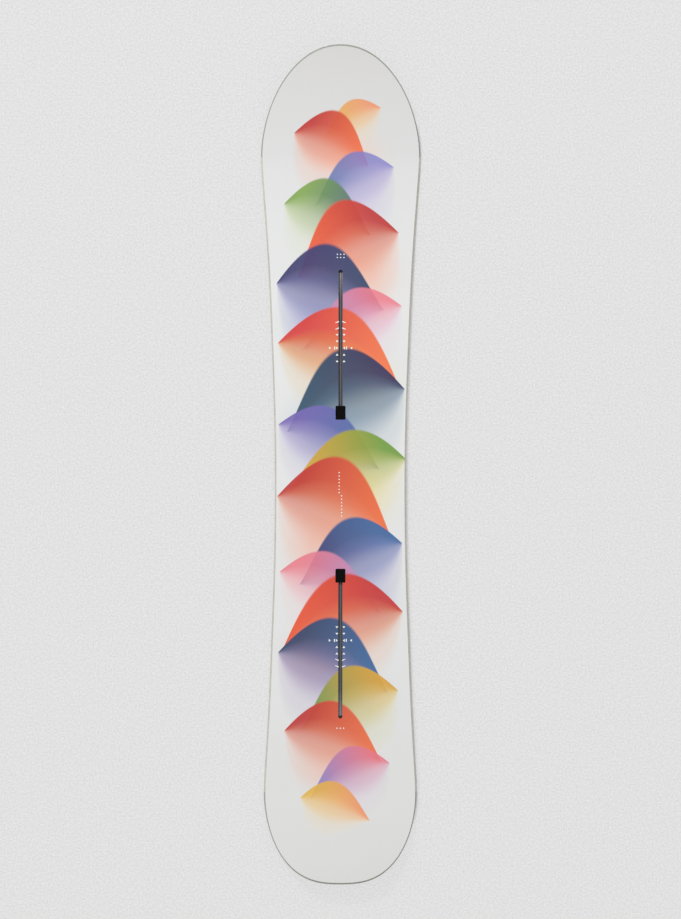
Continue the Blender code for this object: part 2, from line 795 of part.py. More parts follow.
def build_plug(board, end_name, side):
    """The cap over the channel's entry, dished inside its rim, with two legs down beside the rails."""
    name = f"{end_name}_plug"
    reach = (plug_end - CHANNEL_START) / 2
    middle = channel_place(side, plug_middle)
    seat = pressed(0.0, middle, topsheet_low)
    tilt = profile(middle)[1]

    def loop(inset):
        radius = max(PLUG_CORNER - inset, PLUG_SOFTENING)
        return rounded_window(channel_half - inset, inset - reach, reach - inset, radius)

    cap = flat_solid(name, [loop(0.0)], 0.0, PLUG_CAP)
    plug = board.add(name, mesh_from(cap, name), "plug plastic", seat, tilt)
    soften = plug.modifiers.new("softened_edges", "BEVEL")
    soften.width = PLUG_SOFTENING
    soften.segments = 1
    soften.limit_method = "ANGLE"
    soften.angle_limit = math.radians(60)
    dish = flat_solid(f"{name}_dish", [loop(PLUG_RIM)], PLUG_CAP - PLUG_DISH, PLUG_CAP + THROUGH)
    combine(plug, board.tool(f"{name}_dish", mesh_from(dish, f"{name}_dish"), plug), "DIFFERENCE")
    legs_start = side * (pocket_start + GLUE_LINE - plug_middle)
    legs_end = side * (lip_start - GLUE_LINE - plug_middle)
    foot = cavity_low + GLUE_LINE - topsheet_low
    for hand in (-1, 1):
        inner = hand * cavity_half
        outer = hand * leg_half
        low = (min(inner, outer), min(legs_start, legs_end), foot)
        high = (max(inner, outer), max(legs_start, legs_end), PLUG_CAP / 2)
        leg = box_mesh(f"{name}_leg", low, high)
        combine(plug, board.tool(f"{name}_leg", leg, plug), "UNION")


def slide_path(side, parked, travel):
    """Start, unit direction and length of an insert's straight path along its channel."""
    middle_level = cavity_low + INSERT_PLAY + INSERT_FLANGE / 2
    start = pressed(0.0, channel_place(side, parked), middle_level)
    end = pressed(0.0, channel_place(side, parked + travel), middle_level)
    path = end - start
    return start, path.normalized(), path.length


def build_insert(board, name, side, parked, travel):
    """A threaded insert: a flange under the lips and a neck between them, with its hole."""
    start, direction, _ = slide_path(side, parked, travel)
    tilt = math.atan2(side * direction.z, side * direction.y)
    half = INSERT_LENGTH / 2
    flange = box_mesh(name, (-flange_half, -half, -INSERT_FLANGE / 2), (flange_half, half, INSERT_FLANGE / 2))
    insert = board.add(name, flange, "insert steel", start, tilt)
    neck_top = rail_high - INSERT_PLAY - (cavity_low + INSERT_PLAY + INSERT_FLANGE / 2)
    neck = box_mesh(f"{name}_neck", (-neck_half, -half, 0.0), (neck_half, half, neck_top))
    combine(insert, board.tool(f"{name}_neck", neck, insert), "UNION")
    drill = bmesh.new()
    bmesh.ops.create_cone(drill, cap_ends=True, segments=HOLE_SIDES, radius1=THREAD_HOLE / 2,
                          radius2=THREAD_HOLE / 2, depth=4 * (neck_top + INSERT_FLANGE))
    hole = board.tool(f"{name}_hole", mesh_from(drill, f"{name}_hole"), insert)
    combine(insert, hole, "DIFFERENCE")


def build_channels(board):
    """Floor, stops, rails, plug and the two sliding inserts of each channel."""
    for end_name, side in (("front", FRONT), ("rear", REAR)):
        build_channel_bed(board, end_name, side)
        build_rails(board, end_name, side)
        build_plug(board, end_name, side)
        build_insert(board, f"{end_name}_insert_outer", side, outer_insert_parked, outer_insert_travel)
        build_insert(board, f"{end_name}_insert_inner", side, inner_insert_parked, inner_insert_travel)


def main():
    clear_scene()
    board = Board()
    build_lower_sheets(board)
    build_edges(board)
    build_core(board)
    build_sidewalls(board)
    build_spacers(board)
    build_top(board)
    build_channels(board)


main()
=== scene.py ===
"""Looks of a directional snowboard with two binding channels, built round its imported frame.

Units are metres, angles in the fields are degrees. X runs across the board, Y from tail to nose and
Z up. The board is a pressed stack: a layer is laid out flat, as x across, y along and a level above
the running face, and the press then bends it to the camber and the two kicks. Every layer that shows
at the rim, in the slots or on top is worked out here as a smooth surface over its faceted solid, and
the layers that stay hidden keep their solids and get their own materials.
"""
import json
import logging
import math
from dataclasses import dataclass
from enum import Enum

import bmesh
import bpy
import numpy as np
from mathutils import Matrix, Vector


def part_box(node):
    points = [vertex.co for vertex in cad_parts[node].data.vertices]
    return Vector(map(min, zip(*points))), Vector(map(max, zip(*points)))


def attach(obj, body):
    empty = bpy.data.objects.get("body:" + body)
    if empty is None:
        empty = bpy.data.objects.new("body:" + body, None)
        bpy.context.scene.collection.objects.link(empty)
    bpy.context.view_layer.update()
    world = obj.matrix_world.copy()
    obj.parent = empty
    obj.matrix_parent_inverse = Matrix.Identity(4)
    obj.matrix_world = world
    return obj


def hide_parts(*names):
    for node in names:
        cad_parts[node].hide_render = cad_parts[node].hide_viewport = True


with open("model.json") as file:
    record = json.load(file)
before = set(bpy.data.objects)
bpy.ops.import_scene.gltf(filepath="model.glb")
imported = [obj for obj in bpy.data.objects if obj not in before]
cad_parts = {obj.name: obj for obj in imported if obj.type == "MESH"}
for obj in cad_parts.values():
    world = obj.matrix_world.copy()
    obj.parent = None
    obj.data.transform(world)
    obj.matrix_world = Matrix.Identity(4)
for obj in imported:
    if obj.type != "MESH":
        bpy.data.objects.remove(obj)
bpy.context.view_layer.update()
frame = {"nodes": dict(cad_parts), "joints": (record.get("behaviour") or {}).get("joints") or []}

Array = np.ndarray
Piece = bpy.types.Object
Tree = bpy.types.NodeTree
Socket = bpy.types.NodeSocket
Feeds = dict[str, Socket]
Colour = tuple[float, float, float, float]
Pairs = tuple[tuple[float, float], ...]

log = logging.getLogger("snowboard")

MM = 0.001
# Points closer than this are merged into one.
WELD = 1e-7
# Points on the curve that rounds a corner.
CORNER_STEPS = 4
# Place along the board of the middle of the stance.
STANCE_CENTRE = -0.0563


class Hand(Enum):
    """Which half of the board a piece lies on."""

    RIGHT = 1
    LEFT = -1


class End(Enum):
    """Which end of the board a piece belongs to, as the sign of its side of the stance."""

    FRONT = 1
    REAR = -1

    @property
    def word(self) -> str:
        """The word that node names use for this end."""
        return "front" if self is End.FRONT else "rear"


class Berth(Enum):
    """Which of a channel's two inserts a piece is, as its place in the row under the plug."""

    INNER = 0
    OUTER = 1


# Colour and shader nodes


def linear(hex_colour: str) -> Colour:
    """Turn an sRGB hex colour into the linear colour that sockets take.

    Args:
        hex_colour: six hex digits with a leading hash.

    Returns:
        Red, green, blue and an alpha of one.
    """
    shares = [int(hex_colour[index:index + 2], 16) / 255 for index in (1, 3, 5)]
    made = [share / 12.92 if share <= 0.04045 else ((share + 0.055) / 1.055) ** 2.4 for share in shares]
    return (made[0], made[1], made[2], 1.0)


def add_node(tree: Tree, kind: str, feeds: dict | None = None, out: str | int = 0,
             stops: list[tuple[float, Colour]] | None = None, **settings: object) -> Socket:
    """Add one shader node, set its options, feed its sockets and pick one of its outputs.

    Args:
        tree: the node tree of a material or a world.
        kind: node type without its ShaderNode prefix.
        feeds: socket name or number to a constant or to another node's output.
        out: name or number of the output that is handed back.
        stops: position and linear colour of each stop, for a node that holds a colour ramp.
        settings: options of the node itself.

    Returns:
        The chosen output, whose node holds the others.
    """
    node = tree.nodes.new("ShaderNode" + kind)
    for name, value in settings.items():
        setattr(node, name, value)
    for name, value in (feeds or {}).items():
        if isinstance(value, Socket):
            tree.links.new(value, node.inputs[name])
        else:
            node.inputs[name].default_value = value
    if stops:
        elements = node.color_ramp.elements
        while len(elements) < len(stops):
            elements.new(1.0)
        for element, (position, colour) in zip(elements, stops):
            element.position = position
            element.color = colour
    return node.outputs[out]


# Finishes


@dataclass(frozen=True)
class Finish:
    """One finish: what its surface is made of, and how it answers light.

    The relief is how far a height of one in the finish's pattern stands out, in metres.
    """

    name: str
    colour: str
    roughness: float
    metallic: float = 0.0
    ior: float = 1.5
    coat: float = 0.0
    coat_roughness: float = 0.1
    specular: float = 0.5
    relief: float = 0.02 * MM

    def material(self) -> bpy.types.Material:
        """Make the finish's material once, and hand the same one out from then on.

        Returns:
            The material, with its constants on the shader and its pattern linked to it.
        """
        found = bpy.data.materials.get(self.name)
        if found:
            return found
        made = bpy.data.materials.new(self.name)
        made.use_nodes = True
        tree = made.node_tree
        shader = tree.nodes["Principled BSDF"]
        constants = {"Roughness": self.roughness, "Metallic": self.metallic, "IOR": self.ior,
                     "Coat Weight": self.coat, "Coat Roughness": self.coat_roughness,
                     "Specular IOR Level": self.specular, "Base Color": linear(self.colour)}
        for socket, value in constants.items():
            shader.inputs[socket].default_value = value
        feeds = self.pattern(tree)
        if "Height" in feeds:
            bumps = {"Height": feeds.pop("Height"), "Distance": self.relief}
            feeds["Normal"] = add_node(tree, "Bump", bumps)
        for socket, source in feeds.items():
            tree.links.new(source, shader.inputs[socket])
        return made

    def pattern(self, tree: Tree) -> Feeds:
        """Sockets of the shader that the finish's own pattern drives; each finish has its own.

        Args:
            tree: the material's node tree.

        Returns:
            Shader socket name to the socket that feeds it, with Height for what makes the relief.
        """
        raise NotImplementedError(self.name)

    def toned(self, tree: Tree, share: Socket, window: tuple[float, float], other: str,
              most: float = 1.0, under: Socket | None = None) -> Socket:
        """Turn the finish's colour to another tone as a share rises.

        Args:
            tree: the material's node tree.
            share: the socket that drives the turn.
            window: values of the share where the turn starts and where it is complete.
            other: hex colour that it turns to.
            most: how much of that colour there is in the end.
            under: a colour socket to start from, instead of the finish's own colour.

        Returns:
            The mixed colour.
        """
        amount = add_node(tree, "MapRange", {"Value": share, "From Min": window[0], "From Max": window[1],
                                             "To Max": most})
        first = linear(self.colour) if under is None else under
        return add_node(tree, "Mix", {0: amount, 6: first, 7: linear(other)}, out=2, data_type="RGBA")

    def streaks(self, tree: Tree, place: Socket, sizes: tuple[float, float, float], detail: float,
                rough: float = 0.5) -> Socket:
        """Draw noise out into streaks.

        Args:
            tree: the material's node tree.
            place: the coordinates that the streaks follow.
            sizes: real size of a streak along each coordinate.
            detail: how many finer steps the noise has.
            rough: how strong each finer step is against the one before.

        Returns:
            The streaks.
        """
        drawn = add_node(tree, "Mapping", {"Vector": place, "Scale": tuple(1 / size for size in sizes)})
        return add_node(tree, "TexNoise", {"Vector": drawn, "Scale": 1.0, "Detail": detail,
                                           "Roughness": rough})

    def uneven(self, tree: Tree, share: Socket, window: tuple[float, float], less: float,
               more: float) -> Socket:
        """Let the finish's roughness rise with a share.

        Args:
            tree: the material's node tree.
            share: the socket that drives it.
            window: values of the share where the rise starts and ends.
            less: how far below the plain roughness it starts.
            more: how far above the plain roughness it ends.

        Returns:
            The roughness.
        """
        return add_node(tree, "MapRange", {"Value": share, "From Min": window[0], "From Max": window[1],
                                           "To Min": self.roughness - less, "To Max": self.roughness + more})


@dataclass(frozen=True)
class SinteredBase(Finish):
    """Sintered polyethylene with graphite, stone ground: a waxy black with a silky streak.

    The stone leaves grooves along the board, crossed by a second pass at a small angle. They are
    about 0.4 mm apart on the real base and are drawn at 1.1 mm, so that they show.
    """

    groove_pitch: float = 1.1 * MM
    groove_length: float = 110 * MM
    cross_angle: float = 9.0
    wax_cloud: float = 38 * MM
    relief: float = 0.06 * MM

    def pattern(self, tree: Tree) -> Feeds:
        """Two crossed passes of grooves, with clouds of wax left in them.

        Args:
            tree: the material's node tree.

        Returns:
            Shader socket name to the socket that feeds it.
        """
        place = add_node(tree, "TexCoord", out="Object")
        passes = []
        for turn in (0.0, math.radians(self.cross_angle)):
            turned = add_node(tree, "Mapping", {"Vector": place, "Rotation": (0.0, 0.0, turn)})
            passes.append(self.streaks(tree, turned, (self.groove_pitch, self.groove_length, 1.0), 3.0, 0.6))
        grooves = add_node(tree, "Math", {0: passes[0], 1: passes[1]}, operation="MULTIPLY")
        wax = add_node(tree, "TexNoise", {"Vector": place, "Scale": 1 / self.wax_cloud, "Detail": 4.0})
        return {"Base Color": self.toned(tree, wax, (0.3, 0.7), "#242426"),
                "Roughness": self.uneven(tree, grooves, (0.1, 0.5), 0.12, 0.16),
                "Height": grooves}


@dataclass(frozen=True)
class GroundSteel(Finish):
    """Carbon steel edge, ground and then polished along the rim: a bright, slightly streaked grey.

    The grit's lines run along the rim. They are about 0.05 mm apart on the real edge and are drawn
    at 0.3 mm, so that they still show in a close view.
    """

    line_pitch: float = 0.3 * MM
    line_length: float = 40 * MM
    bloom: float = 26 * MM
    relief: float = 0.012 * MM

    def pattern(self, tree: Tree) -> Feeds:
        """Grinding lines along the rim and a faint brown bloom.

        Args:
            tree: the material's node tree.

        Returns:
            Shader socket name to the socket that feeds it.
        """
        rim = add_node(tree, "Attribute", out="Vector", attribute_name="lie")
        grit = self.streaks(tree, rim, (self.line_length, self.line_pitch, 1.0), 4.0, 0.7)
        place = add_node(tree, "TexCoord", out="Object")
        bloom = add_node(tree, "TexNoise", {"Vector": place, "Scale": 1 / self.bloom, "Detail": 3.0})
        return {"Base Color": self.toned(tree, bloom, (0.4, 0.75), "#7d7973", 0.6),
                "Roughness": self.uneven(tree, grit, (0.25, 0.75), 0.08, 0.14),
                "Height": grit}


@dataclass(frozen=True)
class MilledSidewall(Finish):
    """ABS sidewall, milled to its slope after pressing: a dull, slightly chalky beige.

    The cutter leaves faint lines along the rim and a step wherever the board was pushed on.
    """

    line_pitch: float = 0.5 * MM
    line_length: float = 83 * MM
    cutter_step: float = 2.4 * MM
    chalk: float = 17 * MM

    def pattern(self, tree: Tree) -> Feeds:
        """Lines along the rim, the cutter's steps across them and a faint chalky cloud.

        Args:
            tree: the material's node tree.

        Returns:
            Shader socket name to the socket that feeds it.
        """
        rim = add_node(tree, "Attribute", out="Vector", attribute_name="lie")
        drag = self.streaks(tree, rim, (self.line_length, self.line_pitch, 1.0), 3.0)
        steps = add_node(tree, "TexWave", {"Vector": rim, "Scale": 0.5 / self.cutter_step,
                                           "Distortion": 1.2, "Detail": 2.0},
                         out="Fac", wave_type="BANDS", bands_direction="X")
        height = add_node(tree, "Math", {0: steps, 1: 0.25, 2: drag}, operation="MULTIPLY_ADD")
        place = add_node(tree, "TexCoord", out="Object")
        chalk = add_node(tree, "TexNoise", {"Vector": place, "Scale": 1 / self.chalk, "Detail": 3.0})
        return {"Base Color": self.toned(tree, chalk, (0.35, 0.7), "#cac4b9"),
                "Roughness": self.uneven(tree, drag, (0.3, 0.7), 0.06, 0.1),
                "Height": height}


@dataclass(frozen=True)
class GlassLaminate(Finish):
    """Glass fibre rovings in epoxy, trimmed at the rim: pale flecks in a greenish, half-gloss resin.

    The flecks are cut bundles of fibre, in plies a quarter of a millimetre thick.
    """

    bundle_width: float = 1.2 * MM
    ply: float = 0.25 * MM
    ply_wave: float = 50 * MM

    def pattern(self, tree: Tree) -> Feeds:
        """Pale bundle ends in darker resin, with fine level plies.

        Args:
            tree: the material's node tree.

        Returns:
            Shader socket name to the socket that feeds it.
        """
        place = add_node(tree, "TexCoord", out="Object")
        bundles = add_node(tree, "TexVoronoi", {"Vector": place, "Scale": 1 / self.bundle_width,
                                                "Randomness": 0.8})
        plies = self.streaks(tree, place, (self.ply_wave, self.ply_wave, self.ply), 2.0)
        both = add_node(tree, "Math", {0: bundles, 1: plies}, operation="MULTIPLY")
        return {"Base Color": self.toned(tree, both, (0.05, 0.4), "#888c79"),
                "Height": both}


@dataclass(frozen=True)
class MouldedFiller(Finish):
    """Thermoplastic tip filler, injection moulded: an even satin grey with the trimming's faint lines.

    The grain is the mould's, and the lines run along the rim, where the board was trimmed.
    """

    grain: float = 0.5 * MM
    line_pitch: float = 0.4 * MM
    line_length: float = 67 * MM
    relief: float = 0.03 * MM

    def pattern(self, tree: Tree) -> Feeds:
        """A fine satin grain and trimming lines along the rim.

        Args:
            tree: the material's node tree.

        Returns:
            Shader socket name to the socket that feeds it.
        """
        place = add_node(tree, "TexCoord", out="Object")
        grain = add_node(tree, "TexNoise", {"Vector": place, "Scale": 1 / self.grain, "Detail": 3.0})
        rim = add_node(tree, "Attribute", out="Vector", attribute_name="lie")
        drag = self.streaks(tree, rim, (self.line_length, self.line_pitch, 1.0), 2.0)
        both = add_node(tree, "Math", {0: grain, 1: drag}, operation="MULTIPLY")
        return {"Base Color": self.toned(tree, drag, (0.3, 0.7), "#949a94"),
                "Height": both}


@dataclass(frozen=True)
class PlanedWood(Finish):
    """Core timber, planed and laminated on edge, with its grain along the board.

    Growth rings cut the face as long streaks a ring width apart. Fine fibres and short darker flecks
    run along them, which gives poplar a plain pale face and beech a speckled, redder one.
    """

    ring_width: float = 2.5 * MM
    ring_bend: float = 400 * MM
    fibre_width: float = 0.38 * MM
    fibre_length: float = 17 * MM
    fleck_width: float = 0.9 * MM
    fleck_length: float = 4.2 * MM
    late_wood: str = "#a9855a"
    fleck_strength: float = 0.2
    relief: float = 0.03 * MM

    def pattern(self, tree: Tree) -> Feeds:
        """Rings from bands bent by a long noise, with fibres and flecks over them.

        Args:
            tree: the material's node tree.

        Returns:
            Shader socket name to the socket that feeds it.
        """
        place = add_node(tree, "TexCoord", out="Object")
        ring_place, fleck_place = (
            add_node(tree, "Mapping", {"Vector": place, "Scale": (1 / width, 1 / length, 1 / width)})
            for width, length in ((self.ring_width, self.ring_bend), (self.fleck_width, self.fleck_length)))
        rings = add_node(tree, "TexWave", {"Vector": ring_place, "Scale": 0.16, "Distortion": 5.0,
                                           "Detail": 2.0, "Detail Scale": 0.6},
                         out="Fac", wave_type="RINGS", rings_direction="Y")
        sizes = (self.fibre_width, self.fibre_length, self.fibre_width)
        fibres = self.streaks(tree, place, sizes, 4.0, 0.65)
        flecks = add_node(tree, "TexVoronoi", {"Vector": fleck_place, "Scale": 1.0})
        ringed = self.toned(tree, rings, (0.35, 0.95), self.late_wood)
        fibred = self.toned(tree, fibres, (0.35, 0.75), self.late_wood, 0.35, ringed)
        return {"Base Color": self.toned(tree, flecks, (0.16, 0.05), "#5d3a22", self.fleck_strength, fibred),
                "Height": fibres}


@dataclass(frozen=True)
class RubberMat(Finish):
    """Thin vulcanised rubber foil: a dusty black with the square print of its release cloth."""

    cloth_pitch: float = 0.8 * MM
    dust: float = 22 * MM
    relief: float = 0.04 * MM

    def pattern(self, tree: Tree) -> Feeds:
        """The cloth's print as two crossed waves, and a dusty bloom.

        Args:
            tree: the material's node tree.

        Returns:
            Shader socket name to the socket that feeds it.
        """
        place = add_node(tree, "TexCoord", out="Object")
        threads = [add_node(tree, "TexWave", {"Vector": place, "Scale": 0.5 / self.cloth_pitch}, out="Fac",
                            wave_type="BANDS", bands_direction=direction) for direction in ("X", "Y")]
        cloth = add_node(tree, "Math", {0: threads[0], 1: threads[1]}, operation="MULTIPLY")
        dust = add_node(tree, "TexNoise", {"Vector": place, "Scale": 1 / self.dust, "Detail": 5.0})
        return {"Base Color": self.toned(tree, dust, (0.45, 0.75), "#3c3c3d", 0.5),
                "Height": cloth}


@dataclass(frozen=True)
class FilledNylon(Finish):
    """Glass-filled nylon, moulded, of the channel's bed: a dull grey with pale fibre streaks.

    The outer ends of the bed are painted paler, as painted light, and the very end, against the
    stop, is painted dark, as painted shade.
    """

    streak_width: float = 0.53 * MM
    streak_length: float = 2.4 * MM
    polished_from: float = 0.375
    polished_to: float = 0.423
    grit_from: float = 0.4235
    grit_to: float = 0.4255

    def pattern(self, tree: Tree) -> Feeds:
        """Short fibre streaks along the flow, painted light at the outer end and painted shade past it.

        Args:
            tree: the material's node tree.

        Returns:
            Shader socket name to the socket that feeds it.
        """
        place = add_node(tree, "TexCoord", out="Object")
        sizes = (self.streak_width, self.streak_length, self.streak_width)
        flow = self.streaks(tree, place, sizes, 4.0, 0.7)
        along = add_node(tree, "SeparateXYZ", {"Vector": place}, out="Y")
        offset = add_node(tree, "Math", {0: along, 1: STANCE_CENTRE}, operation="SUBTRACT")
        distance = add_node(tree, "Math", {0: offset}, operation="ABSOLUTE")
        # Painted light: the outer ends of the bed are painted paler.
        lit_end = self.toned(tree, distance, (self.polished_from, self.polished_to), "#a5a1a2", 0.75)
        streaked = self.toned(tree, flow, (0.5, 0.75), "#7c7f81", 0.35, lit_end)
        # Painted shade: the very end, against the stop, is painted dark.
        shaded_end = self.toned(tree, distance, (self.grit_from, self.grit_to), "#141716", 0.9, streaked)
        return {"Base Color": shaded_end, "Height": flow}


@dataclass(frozen=True)
class AnodisedRail(Finish):
    """Extruded aluminium, anodised dark: a satin, nearly black metal with die lines along it."""

    die_line_pitch: float = 0.35 * MM
    die_line_length: float = 125 * MM
    relief: float = 0.01 * MM

    def pattern(self, tree: Tree) -> Feeds:
        """Die lines along the extrusion.

        Args:
            tree: the material's node tree.

        Returns:
            Shader socket name to the socket that feeds it.
        """
        place = add_node(tree, "TexCoord", out="Object")
        sizes = (self.die_line_pitch, self.die_line_length, self.die_line_pitch)
        drawn = self.streaks(tree, place, sizes, 3.0)
        return {"Base Color": self.toned(tree, drawn, (0.4, 0.7), "#484b4e", 0.5),
                "Roughness": self.uneven(tree, drawn, (0.3, 0.7), 0.06, 0.12),
                "Height": drawn}


@dataclass(frozen=True)
class SparkErodedPlug(Finish):
    """Black nylon from a spark-eroded mould: a fine leathery grain that takes the shine off the black."""

    grain: float = 0.28 * MM
    handling: float = 5.6 * MM
    relief: float = 0.03 * MM

    def pattern(self, tree: Tree) -> Feeds:
        """Rounded pits of the eroded mould, and slight handling wear.

        Args:
            tree: the material's node tree.

        Returns:
            Shader socket name to the socket that feeds it.
        """
        place = add_node(tree, "TexCoord", out="Object")
        pits = add_node(tree, "TexVoronoi", {"Vector": place, "Scale": 1 / self.grain, "Smoothness": 0.6},
                        feature="SMOOTH_F1")
        wear = add_node(tree, "TexNoise", {"Vector": place, "Scale": 1 / self.handling, "Detail": 3.0})
        return {"Base Color": self.toned(tree, wear, (0.5, 0.8), "#151617", 0.6),
                "Roughness": self.uneven(tree, wear, (0.3, 0.7), 0.06, 0.08),
                "Height": pits}


@dataclass(frozen=True)
class ZincInsert(Finish):
    """Zinc-plated steel insert: a bright grey with the mottled spangle of the bath."""

    spangle: float = 1.4 * MM
    crystal: float = 0.42 * MM
    relief: float = 0.004 * MM

    def pattern(self, tree: Tree) -> Feeds:
        """Plating spangle in colour and roughness, and the fine crystals in its relief.

        Args:
            tree: the material's node tree.

        Returns:
            Shader socket name to the socket that feeds it.
        """
        place = add_node(tree, "TexCoord", out="Object")
        cells = add_node(tree, "TexVoronoi", {"Vector": place, "Scale": 1 / self.spangle}, out="Color")
        spangle = add_node(tree, "RGBToBW", {"Color": cells})
        crystals = add_node(tree, "TexNoise", {"Vector": place, "Scale": 1 / self.crystal, "Detail": 2.0})
        return {"Base Color": self.toned(tree, spangle, (0.0, 1.0), "#a9adb3"),
                "Roughness": self.uneven(tree, spangle, (0.2, 0.8), 0.08, 0.1),
                "Height": crystals}


@dataclass(frozen=True)
class ScreenInk(Finish):
    """White screen-printed ink of the stance scale: a thin matt film that lets a little colour through."""

    mottle: float = 1.1 * MM

    def pattern(self, tree: Tree) -> Feeds:
        """The faint mottle of a thin ink film.

        Args:
            tree: the material's node tree.

        Returns:
            Shader socket name to the socket that feeds it.
        """
        place = add_node(tree, "TexCoord", out="Object")
        mottle = add_node(tree, "TexNoise", {"Vector": place, "Scale": 1 / self.mottle, "Detail": 2.0})
        return {"Base Color": self.toned(tree, mottle, (0.3, 0.7), "#eeefed")}


@dataclass(frozen=True)
class Spray:
    """Airbrushed paint about a place, in its own measure: its reach is one unit, and so is its height."""

    x: float
    y: float
    reach: float
    height: float
    turn: float

    def measured(self, tree: Tree, place: Socket) -> Socket:
        """Places on the board in the spray's own measure.

        Args:
            tree: the material's node tree.
            place: object coordinates.

        Returns:
            The measured place, with s as its x and t as its y.
        """
        return add_node(tree, "Mapping", {"Vector": place, "Location": (self.x, self.y, 0.0),
                                          "Rotation": (0.0, 0.0, math.radians(self.turn)),
                                          "Scale": (self.reach, self.height, 1.0)}, vector_type="TEXTURE")


@dataclass(frozen=True)
class Haze(Spray):
    """A soft breath of paint that fades to nothing all round.

    Its fade is 1 in the middle and 0 at its reach, and the paint is at its strength above full_from.
    """

    shade: str
    strength: float
    full_from: float = 0.6

    def over(self, tree: Tree, place: Socket, under: Socket) -> Socket:
        """Spray the haze over what is there already.

        Args:
            tree: the material's node tree.
            place: object coordinates.
            under: the colour below.

        Returns:
            The colour with the haze over it.
        """
        ball = add_node(tree, "TexGradient", {"Vector": self.measured(tree, place)}, out="Fac",
                        gradient_type="QUADRATIC_SPHERE")
        share = add_node(tree, "MapRange", {"Value": ball, "From Max": self.full_from,
                                            "To Max": self.strength})
        return add_node(tree, "Mix", {0: share, 6: under, 7: linear(self.shade)}, out=2, data_type="RGBA")


@dataclass(frozen=True)
class Dune(Spray):
    """One sprayed crest: an arch with a crisp upper edge that fades away below.

    In its own measure s runs along the chord from -1 to 1 and t across it. The arch is
    t = (1 - s squared) (1 + skew s), and the paint fades from there down to foot times the same. The
    fade gives how much paint covers at places from the foot to the arch. The crest turns from its
    first colour to its second over the crest span of s, and the body's colour turns to the crest's
    over the body span, in shares of the arch.
    """

    skew: float
    crest: str
    far_crest: str
    body: str
    foot: float
    strength: float
    fade: Pairs = (
        (0.0, 0.0), (0.22, 0.20), (0.50, 0.74), (0.72, 0.98), (0.968, 1.0), (1.0, 0.0))
    crest_span: tuple[float, float] = (-0.7, 0.7)
    body_span: tuple[float, float] = (-0.7, 0.55)
    least_arch: float = 1e-4

    def over(self, tree: Tree, place: Socket, under: Socket) -> Socket:
        """Spray the crest over what is there already.

        Args:
            tree: the material's node tree.
            place: object coordinates.
            under: the colour below.

        Returns:
            The colour with the crest over it.
        """
        along = add_node(tree, "SeparateXYZ", {"Vector": self.measured(tree, place)}, out="X")
        square = add_node(tree, "Math", {0: along, 1: along}, operation="MULTIPLY")
        bow = add_node(tree, "Math", {0: 1.0, 1: square}, operation="SUBTRACT", use_clamp=True)
        lean = add_node(tree, "Math", {0: along, 1: self.skew, 2: 1.0}, operation="MULTIPLY_ADD")
        arch = add_node(tree, "Math", {0: bow, 1: lean}, operation="MULTIPLY")
        safe = add_node(tree, "Math", {0: arch, 1: self.least_arch}, operation="MAXIMUM")
        rise = add_node(tree, "Math", {0: along.node.outputs["Y"], 1: safe}, operation="DIVIDE")
        depth = add_node(tree, "MapRange", {"Value": rise, "From Min": self.foot, "From Max": 1.0})
        cover = add_node(tree, "ValToRGB", {"Fac": depth}, stops=[
            (position, (share, share, share, 1.0)) for position, share in self.fade])
        cover.node.color_ramp.interpolation = "EASE"
        share = add_node(tree, "Math", {0: cover, 1: self.strength}, operation="MULTIPLY")
        across, upwards = (
            add_node(tree, "MapRange", {"Value": value, "From Min": span[0], "From Max": span[1]})
            for value, span in ((along, self.crest_span), (rise, self.body_span)))
        crest = add_node(tree, "Mix", {0: across, 6: linear(self.crest), 7: linear(self.far_crest)}, out=2,
                         data_type="RGBA")
        paint = add_node(tree, "Mix", {0: upwards, 6: linear(self.body), 7: crest}, out=2, data_type="RGBA")
        return add_node(tree, "Mix", {0: share, 6: under, 7: paint}, out=2, data_type="RGBA")


